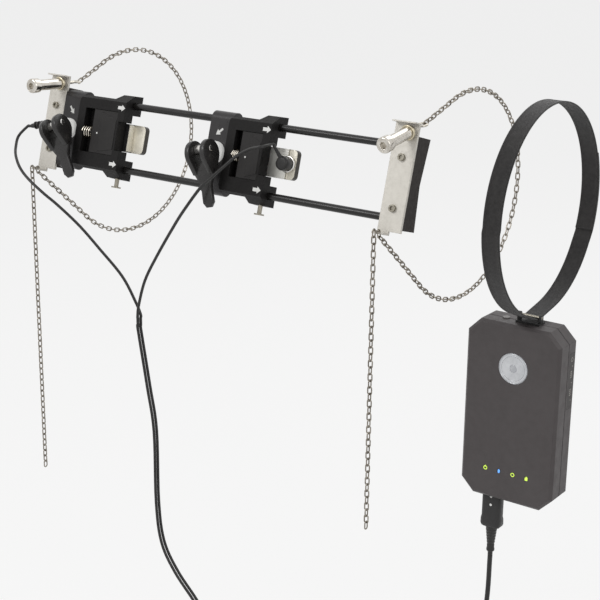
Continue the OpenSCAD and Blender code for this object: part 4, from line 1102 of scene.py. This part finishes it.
@dataclass
class CamLever(Assembly):
    """A cam lever: two round cheeks on the pin, a web and a tapered handle.

    Attributes:
        quarter: Upper half of the handle's section, in shares of its half width and thickness.
        handle: Height, half width and half thickness at each of the handle's stations.
        pin_end: Height and radius of each station of the pin's domed end.
    """

    side: Side
    post_x: float
    swivel: float
    lean: float = 11.0
    cheek_r: float = 14.3
    cheek_up: float = 0.3
    cheek_off: float = 4.0
    cheek_in: float = 7.2
    cheek_out: float = 12.8
    cheek_edge: float = 0.7
    cheek_sides: int = 48
    neck: Pair = (-26.5, 4.5)
    web_low: Point = (-12.4, -24.5, -4.3)
    web_high: Point = (12.4, -14.0, 4.3)
    web_edge: float = 0.8
    quarter: tuple[Pair, ...] = (
        (1.0, 0.45), (0.86, 0.86), (0.5, 1.0), (-0.5, 1.0), (-0.86, 0.86), (-1.0, 0.45))
    handle: tuple[Point, ...] = (
        (-22.0, 12.8, 4.5), (-26.0, 12.8, 4.5), (-31.5, 9.9, 4.2), (-37.5, 7.0, 3.55), (-42.0, 6.58, 3.25),
        (-52.0, 7.0, 3.25), (-57.0, 7.0, 3.25), (-59.0, 5.25, 3.0875), (-62.0, 3.15, 2.6))
    pin_end: tuple[Pair, ...] = ((0.0, 3.4), (0.25, 3.3), (0.5, 2.6), (0.65, 1.4))
    pin_sunk: float = 0.05
    pin_sides: int = 24

    def _frame(self) -> Matrix:
        """The closed lever's frame: X along the pin, Y back from the handle, Z out."""
        place = Matrix.Translation((self.post_x, 0.0, 0.0)) @ turned(self.swivel, "Z")
        return FIXTURE @ place @ Matrix.Translation((0.0, 0.0, LEVER_PIN_R)) @ turned(self.lean, "X")

    def build(self) -> None:
        """Model the lever and the ends of its pin."""
        body = f"lever_{self.side.word}"
        rim = [(y - self.cheek_off, z + self.cheek_up) for y, z in circle(self.cheek_r, self.cheek_sides)]
        low, half = self.neck
        sculpt, caps = Sculpt(self._frame()), Sculpt(self._frame())
        for m in (-1.0, 1.0):
            sculpt.hull([(m * x, y, z) for x in (self.cheek_in, self.cheek_out)
                         for y, z in [*rim, (low, -half), (low, half)]], self.cheek_edge)
            face = Matrix.Translation((m * (self.cheek_out - self.pin_sunk), 0.0, 0.0))
            caps.lathe(self.pin_end, face @ turned(m * 90.0, "Y"), self.pin_sides)
        sculpt.block(self.web_low, self.web_high, self.web_edge)
        sculpt.sweep(mirrored(self.quarter),
                     [Matrix.Translation((0.0, y, 0.0)) @ turned(90.0, "X") for y, _, _ in self.handle],
                     [(wide, thick) for _, wide, thick in self.handle])
        self.add(sculpt.done(body, 40.0), body, Finishes.lever, (f"cam_{body}",))
        self.add(caps.done(f"lever_pin_ends_{self.side.word}"), body, Finishes.post)


@dataclass(frozen=True)
class Arrow:
    """The sizes of a printed arrow."""

    length: float
    shaft: float
    head: float
    head_len: float

    def outline(self) -> Outline:
        """Its outline, which points along +X, its middle at the origin."""
        tip, neck = self.length / 2, self.length / 2 - self.head_len
        upper = [(-tip, self.shaft / 2), (neck, self.shaft / 2), (neck, self.head / 2)]
        return [*((x, -y) for x, y in upper), (tip, 0.0), *reversed(upper)]


@dataclass
class Carrier(Assembly):
    """The small pieces on a carrier: spring, printed arrows and the latch's dot.

    Attributes:
        mount_arrow: Place along the rails, place up the plates, and turn of the mount's arrow.
        dot_sunk: Depths of the dot's foot and face below the carrier's top.
    """

    side: Side
    right_face: float
    body_len: float
    spring_len: float
    mount_arrow: Point
    rail_print: Arrow = Arrow(10.5, 3.8, 7.6, 4.8)
    mount_print: Arrow = Arrow(11.0, 2.4, 7.0, 5.4)
    arrow_u: float = 32.0
    arrow_back: float = 5.9
    print_t: float = 0.12
    print_sunk: float = 0.02
    dot_ahead: float = 8.0
    dot_sunk: Pair = (1.19, 0.7)
    dot_r: float = 1.08
    dot_edge: float = 0.15
    dot_sides: int = 24
    spring_d: float = 14.0
    spring_wire: float = 1.3
    wire_sides: int = 10
    spring_curls: float = 3.5
    spring_steps: int = 24
    spring_room: float = 0.3
    spring_r_out: float = 135.3
    pocket_in: float = 11.0
    latch_travel: float = 4.0

    def build(self) -> None:
        """Model the pieces of this side."""
        word, pocket = self.side.word, self.right_face - self.body_len + self.pocket_in
        prints = Sculpt(FIXTURE)
        for u in (-self.arrow_u, self.arrow_u):
            spot = (self.right_face - self.arrow_back, u, CARRIER_TOP - self.print_sunk)
            prints.slab(self.rail_print.outline(), 0.0, self.print_t, Matrix.Translation(spot))
        x, u, turn = self.mount_arrow
        prints.slab(self.mount_print.outline(), 0.0, self.print_t,
                    Matrix.Translation((x, u, MOUNT_TOP - self.print_sunk)) @ turned(turn, "Z"))
        self.add(prints.done(f"printed_arrows_{word}"), f"carrier_{word}", Finishes.white_print)
        dot = Sculpt(FIXTURE)
        x = pocket + self.spring_len + self.dot_ahead
        foot, face = ((x, 0.0, CARRIER_TOP - sunk) for sunk in self.dot_sunk)
        dot.rod(foot, face, self.dot_r, self.dot_sides, self.dot_edge)
        self.add(dot.done(f"latch_dot_{word}"), f"latch_{word}", Finishes.white_print)
        self._spring(pocket)

    def _spring(self, start: float) -> None:
        """Wind the latch spring as one smooth wire, from the pocket's left wall on.

        Args:
            start: Place of that wall along the rails.
        """
        word, coil = self.side.word, (self.spring_d - self.spring_wire) / 2
        run = self.spring_len - self.spring_wire - self.spring_room
        steps = int(self.spring_curls * self.spring_steps)
        points = []
        for i in range(steps + 1):
            angle = i * math.tau / self.spring_steps
            points.append(Vector((start + self.spring_wire / 2 + run * i / steps, coil * math.sin(angle),
                                  self.spring_r_out + coil * math.cos(angle))))
        frames = []
        for i, point in enumerate(points):
            way = (points[min(i + 1, steps)] - points[max(i - 1, 0)]).normalized()
            side = way.cross(Vector((1.0, 0.0, 0.0))).normalized()
            turn = Matrix((side, way.cross(side), way)).transposed().to_4x4()
            frames.append(Matrix.Translation(point) @ turn)
        sculpt = Sculpt(FIXTURE)
        wire = circle(self.spring_wire / 2, self.wire_sides)
        sculpt.sweep(wire, frames, [(1.0, 1.0)] * len(frames))
        made = self.add(sculpt.done(f"spring_{word}"), f"carrier_{word}", Finishes.spring,
                        (f"latch_spring_{word}",))
        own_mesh(made)


@dataclass
class TensionNut(Assembly):
    """A tension nut's knurled knob and its warm flange, round the plain nut.

    Attributes:
        knob: Radius and height of the points round the knob's section.
        flange: The same for the flange.
    """

    side: Side
    lean: float
    ball_u: float = 50.6
    ball_r_out: float = 135.2
    rod_x: float = 5.0
    steps: int = 56
    knob: tuple[Pair, ...] = (
        (6.6, 38.2), (7.6, 38.2), (8.2, 38.9), (8.3, 40.0), (8.3, 46.6), (8.0, 47.9), (7.3, 48.5),
        (6.2, 48.7), (6.1, 48.2), (6.5, 47.0))
    flange: tuple[Pair, ...] = ((6.5, 1.9), (7.5, 1.9), (7.8, 2.3), (7.8, 4.4), (7.4, 4.8), (6.5, 4.8))

    def build(self) -> None:
        """Model the two rings that the nut carries."""
        spot = (self.side.value * PLATE_X + self.rod_x, self.ball_u, self.ball_r_out)
        place = FIXTURE @ Matrix.Translation(spot) @ turned(self.lean, "X")
        rings = {"knob": (self.knob, Finishes.nut), "flange": (self.flange, Finishes.flange)}
        word = self.side.word
        for name, (section, finish) in rings.items():
            sculpt = Sculpt(place)
            sculpt.ring(section, None, self.steps)
            self.add(sculpt.done(f"nut_{name}_{word}", ROUND_FORMS), f"nut_{word}", finish)


@dataclass
class SensorTop(Assembly):
    """The pale brushed top of a transducer's base, over its side, whose dark colour is painted shade."""

    side: Side
    start: float
    end: float
    nose: float = 0.0
    nose_t: float = 0.4
    nose_inset: float = 1.0
    nose_edge: float = 0.1
    half: float = 16.0
    corner: float = 5.0
    corner_steps: int = 6
    sheet_low: float = BASE_TOP - 0.5
    sheet_top: float = BASE_TOP + 0.08
    sheet_edge: float = 0.05

    def build(self) -> None:
        """Model the thin top sheet where nothing stands on it, and a metal nose on the shell's end."""
        x, u = self.end - self.corner, self.half - self.corner
        turns = [k * math.pi / 2 / self.corner_steps for k in range(self.corner_steps + 1)]
        arc = [(x + self.corner * math.sin(a), u + self.corner * math.cos(a)) for a in turns]
        outline = mirrored([(self.start, self.half), *arc])
        sculpt = Sculpt(FIXTURE)
        sculpt.slab(outline, self.sheet_low, self.sheet_top, None, self.sheet_edge)
        if self.nose:
            wide = self.half - self.nose_inset
            low = (self.start - self.nose_t, -wide, BASE_TOP)
            sculpt.block(low, (self.start, wide, BASE_TOP + self.nose), self.nose_edge)
        word = self.side.word
        self.add(sculpt.done(f"sensor_top_{word}"), f"carrier_{word}", Finishes.base)


@dataclass
class PlugSeat(Assembly):
    """The right transducer's shell, and the bright plate that its round plug stands on."""

    start: float = -2.0
    seam: float = 68.5
    end: float = 92.0
    half: float = 15.95
    shell_t: float = 8.5
    plate_t: float = 2.0
    shell_edge: float = 0.8
    plate_edge: float = 0.4

    def build(self) -> None:
        """Model the shell up to the seam, and the plate from there on."""
        shell, plate = Sculpt(FIXTURE), Sculpt(FIXTURE)
        shell.block((self.start, -self.half, BASE_TOP), (self.seam, self.half, BASE_TOP + self.shell_t),
                    self.shell_edge)
        self.add(shell.done("sensor_shell_right"), "carrier_right", Finishes.shell,
                 ("transducer_shell_right",))
        plate.block((self.seam, -self.half, BASE_TOP), (self.end, self.half, BASE_TOP + self.plate_t),
                    self.plate_edge)
        self.add(plate.done("plug_plate_right"), "carrier_right", Finishes.connector,
                 ("connector_plate_right",))


@dataclass
class Boots(Assembly):
    """The moulded boots and the plug, whose rubber is ribbed or flared.

    Attributes:
        plug: Height and radius of each station of the round plug.
        outlet: The same for the lead's outlet.
        collar: Radius and height of the points round the collar's section.
        heel: Stations of the left boot before its ribs.
        rib: Stations of one of its ribs.
        boot_tip: Its stations after the ribs.
        body: Height, half width and half depth at each station of the signal plug.
        dot_spot: Place of the plug's dots across it, and depth of their foot.
        tail_rib: Stations of the first of its tail's ribs, from where the rib starts.
        tail_step: How far each rib is below the last, and how much thinner it is.
        foot: Stations of the tail below its ribs.
    """

    boot_spot: Point = (-258.0, 2.0, BASE_TOP + 4.1)
    neck_len: float = 58.0
    neck_r: float = 3.75
    heel: tuple[Pair, ...] = ((-1.6, 3.0), (-0.6, 3.5), (1.5, 3.4), (6.0, 3.0))
    rib: tuple[Pair, ...] = ((0.0, 2.9), (0.3, 4.2), (0.8, 4.6), (1.8, 4.6), (2.3, 4.2), (2.6, 2.9))
    rib_spots: tuple[float, ...] = (9.0, 14.0, 19.0)
    boot_tip: tuple[Pair, ...] = ((BOOT_LEN - 2.0, 2.7), (BOOT_LEN, 2.3))
    round_spot: Point = (94.0, 0.0, BASE_TOP + 2.0)
    plug: tuple[Pair, ...] = (
        (0.0, 7.4), (2.2, 7.4), (2.6, 7.7), (10.5, 7.7), (12.2, 7.2), (13.2, 6.0), (13.5, 4.6))
    outlet: tuple[Pair, ...] = ((0.0, 2.6), (8.0, 2.5), (10.0, 2.2), (14.0, 1.95), (17.5, 1.8))
    outlet_rise: float = 7.0
    collar: tuple[Pair, ...] = ((7.6, 0.02), (8.9, 0.02), (9.0, 0.5), (8.8, 1.4), (8.3, 1.7), (7.6, 1.7))
    signal_spot: Point = (305.0, -14.9654, -322.806)
    corner: tuple[Pair, ...] = ((0.62, 1.0), (0.86, 0.9), (1.0, 0.62))
    body: tuple[Point, ...] = (
        (0.0, 10.4, 6.5), (0.8, 10.9, 6.9), (27.0, 10.9, 6.9), (30.0, 11.6, 7.5), (36.0, 11.8, 7.7),
        (38.2, 11.0, 7.2), (39.0, 10.0, 6.4))
    dot_spots: tuple[float, ...] = (1.6, 11.5)
    dot_spot: Pair = (1.0, 6.7)
    dot_t: float = 0.5
    dot_r: float = 1.5
    dot_edge: float = 0.2
    dot_sides: int = 24
    tail_top: float = 6.5
    tail_start: float = 3.0
    tail_ribs: int = 6
    tail_rib: tuple[Pair, ...] = ((0.0, 6.3), (0.4, 5.85), (1.4, 5.8), (1.8, 6.2))
    tail_step: Pair = (3.6, 0.4)
    foot: tuple[Pair, ...] = ((26.0, 4.1), (28.5, 4.6), (30.2, 4.5), (31.0, 3.9))
    metal_sides: int = 48
    rubber_sides: int = 28

    def build(self) -> None:
        """Model the left boot, the round right plug, the signal plug and its tail."""
        self._left_boot()
        self._right_plug()
        self._signal_plug()

    def _right_plug(self) -> None:
        """The round plug, its bright collar and the tapering outlet of its lead."""
        place = FIXTURE @ Matrix.Translation(self.round_spot)
        sculpt, collar = Sculpt(place), Sculpt(place)
        sculpt.lathe(self.plug, Matrix(), self.metal_sides)
        way = turned(OUTLET_TURN, "Z") @ turned(OUTLET_TIP - 90.0, "X")
        sculpt.lathe(self.outlet, Matrix.Translation((0.0, 0.0, self.outlet_rise)) @ way, self.rubber_sides)
        self.add(sculpt.done("right_plug", ROUND_FORMS), "carrier_right", Finishes.rubber,
                 ("transducer_plug_right",))
        collar.ring(self.collar, None, self.metal_sides)
        self.add(collar.done("right_plug_collar"), "carrier_right", Finishes.post)

    def _left_boot(self) -> None:
        """The left lead's neck, and its ribbed boot turned down a little."""
        sculpt = Sculpt(FIXTURE @ Matrix.Translation(self.boot_spot))
        sculpt.rod((self.neck_len, 0.0, 0.0), (0.0, 0.0, 0.0), self.neck_r)
        ribs = [(at + z, r) for at in self.rib_spots for z, r in self.rib]
        way = turned(BOOT_TURN, "Z") @ turned(-90.0, "Y")
        sculpt.lathe([*self.heel, *ribs, *self.boot_tip], way, self.rubber_sides)
        self.add(sculpt.done("left_boot", ROUND_FORMS), "carrier_left", Finishes.rubber,
                 ("transducer_plug_left",))

    def _signal_plug(self) -> None:
        """The plug with its flared foot and dots, and the tapered tail below."""
        down = Matrix.Translation(self.signal_spot) @ turned(180.0, "X")
        sculpt, dots = Sculpt(down), Sculpt(down)
        arc = mirrored(self.corner)
        sculpt.sweep([*arc, *((-x, -y) for x, y in arc)],
                     [Matrix.Translation((0.0, 0.0, z)) for z, _, _ in self.body],
                     [(wide, deep) for _, wide, deep in self.body])
        self.add(sculpt.done("plug_body", ROUND_FORMS), "housing", Finishes.plug, ("signal_plug",))
        x, y = self.dot_spot
        for z in self.dot_spots:
            dots.rod((x, y, z), (x, y + self.dot_t, z), self.dot_r, self.dot_sides, self.dot_edge)
        self.add(dots.done("plug_dots"), "housing", Finishes.white_print)
        tail = Sculpt(down @ Matrix.Translation((0.0, 0.0, self.body[-1][0])))
        down_by, less = self.tail_step
        ribs = [(self.tail_start + k * down_by + z, r - k * less)
                for k in range(self.tail_ribs) for z, r in self.tail_rib]
        tail.lathe([(0.0, self.tail_top), *ribs, *self.foot], Matrix(), self.rubber_sides)
        self.add(tail.done("plug_tail", ROUND_FORMS), "housing", Finishes.rubber, ("plug_boot",))


@dataclass
class Transmitter(Assembly):
    """What the transmitter box wears: badge rim, light symbols and port marks.

    Attributes:
        rim: Radius, wire radius and height of the badge's rim.
        ring: The same for the ring inside it.
        hub: Height and radius of each station of the badge's raised middle.
        light_ring: Radius and wire radius of the ring symbols.
        tick: Outline of the first symbol's tick.
        tick_span: Its lower and upper height.
        cell: Outline of the last symbol.
        bar: Outline of the blue symbol.
        port_ring: Radius and wire radius of the side cover's ring.
        rung: Outline of one rung of the side cover's ladders.
        rung_span: Its lower and upper height.
        stud: Height and radius of each station of its dots.
    """

    front: Point = (328.0, -34.0154, -119.506)
    side: Point = (382.6, -14.9654, -119.506)
    badge: Pair = (1.5, -47.5)
    rim: Point = (16.3, 0.55, -0.15)
    ring: Point = (13.4, 0.28, -0.25)
    badge_steps: int = 72
    hub_sides: int = 40
    hub: tuple[Pair, ...] = ((-0.35, 4.6), (0.0, 4.4), (0.25, 3.2), (0.35, 1.2))
    lights: tuple[float, ...] = (-24.6, -8.2, 8.2, 24.4)
    lights_z: float = -166.5
    lights_out: float = 0.12
    light_ring: Pair = (1.9, 0.42)
    tick: tuple[Pair, ...] = ((-0.4, 1.0), (0.4, 1.0), (0.4, 3.0), (-0.4, 3.0))
    tick_span: Pair = (-0.2, 0.5)
    symbol_span: Pair = (-0.15, 0.3)
    symbol_edge: float = 0.15
    cell_edge: float = 0.12
    cell: tuple[Pair, ...] = (
        (-1.5, -2.2), (1.7, -2.2), (1.7, 1.6), (0.8, 1.6), (0.8, 2.3), (-0.3, 2.3), (-0.3, 1.6), (-1.5, 0.6))
    bar: tuple[Pair, ...] = ((-0.9, -2.0), (0.9, -2.0), (1.2, 0.0), (0.9, 2.0), (-0.9, 2.0), (-1.2, 0.0))
    port_ring: Pair = (2.1, 0.3)
    port_ring_z: float = -33.5
    ladder_y: float = 9.0
    ladders_z: Pair = (-50.0, -70.0)
    rung: tuple[Pair, ...] = ((-1.8, 0.0), (1.8, 0.5), (1.8, 1.3), (-1.8, 0.8))
    rung_span: Pair = (-0.1, 0.18)
    rung_spots: tuple[float, ...] = (-3.6, -1.5, 0.6, 2.7)
    stud_y: float = 11.0
    studs_z: Point = (-41.0, -59.5, -79.0)
    stud: tuple[Pair, ...] = ((-0.05, 0.8), (0.15, 0.75), (0.22, 0.4))

    def _on_front(self, x: float, z: float, out: float = 0.0) -> Matrix:
        """A frame on the front face: X right, Y up, Z out of the face."""
        return Matrix.Translation(Vector(self.front) + Vector((x, -out, z))) @ turned(90.0, "X")

    def _on_side(self, y: float, z: float) -> Matrix:
        """A frame on the right side face: X back, Y up, Z out of the face."""
        spot = Matrix.Translation(Vector(self.side) + Vector((0.0, y, z)))
        return spot @ turned(90.0, "Z") @ turned(90.0, "X")

    def build(self) -> None:
        """Model the marks on the box."""
        for name, (radius, wire, out), hub in (("rim", self.rim, ()), ("rings", self.ring, self.hub)):
            sculpt = Sculpt()
            sculpt.torus(radius, wire, self._on_front(*self.badge, out), self.badge_steps)
            if hub:
                sculpt.lathe(hub, self._on_front(*self.badge), self.hub_sides)
            self.add(sculpt.done(f"badge_{name}"), "housing", Finishes.badge_rim)
        self._light_symbols()
        self._port_marks()

    def _light_symbols(self) -> None:
        """Small glowing symbols: a ring with a tick, a bar, a ring and a cell."""
        green, blue = Sculpt(), Sculpt()
        spots = [self._on_front(x, self.lights_z, self.lights_out) for x in self.lights]
        green.torus(*self.light_ring, spots[0], 32)
        green.slab(self.tick, *self.tick_span, spots[0], self.symbol_edge)
        green.torus(*self.light_ring, spots[2], 32)
        green.slab(self.cell, *self.symbol_span, spots[3], self.cell_edge)
        blue.slab(self.bar, *self.symbol_span, spots[1], self.symbol_edge)
        self.add(green.done("green_symbols"), "housing", Finishes.green_light)
        self.add(blue.done("blue_symbol"), "housing", Finishes.blue_light)

    def _port_marks(self) -> None:
        """Plain raised marks on the side cover: a ring, two ladders and dots between."""
        marks = Sculpt()
        marks.torus(*self.port_ring, self._on_side(self.ladder_y, self.port_ring_z), 28)
        for z in self.ladders_z:
            for rise in self.rung_spots:
                rung = [(x, y + rise) for x, y in self.rung]
                marks.slab(rung, *self.rung_span, self._on_side(self.ladder_y, z))
        for z in self.studs_z:
            marks.lathe(self.stud, self._on_side(self.stud_y, z), 16)
        self.add(marks.done("port_marks"), "door", Finishes.grey_print)


def main() -> None:
    """Build the scene in order."""
    logging.basicConfig(level=logging.INFO, format="%(name)s: %(message)s")
    Camera().build()
    effects = Effects()
    for part in (
            Solids(effects), Leads(effects), Strap(effects),
            CamLever(effects, Side.LEFT, post_x=-211.0, swivel=26.0),
            CamLever(effects, Side.RIGHT, post_x=8.0, swivel=14.0),
            Carrier(effects, Side.LEFT, right_face=-124.5, body_len=70.5, spring_len=13.5,
                    mount_arrow=(-211.0, 22.0, -50.0)),
            Carrier(effects, Side.RIGHT, right_face=81.0, body_len=57.0, spring_len=9.0,
                    mount_arrow=(8.5, 22.5, -140.0)),
            TensionNut(effects, Side.LEFT, lean=13.0), TensionNut(effects, Side.RIGHT, lean=24.0),
            SensorTop(effects, Side.LEFT, start=-126.7, end=-110.0, nose=8.4),
            SensorTop(effects, Side.RIGHT, start=92.3, end=103.0),
            PlugSeat(effects), Boots(effects), Transmitter(effects), Studio()):
        part.build()


if __name__ == "__main__":
    main()
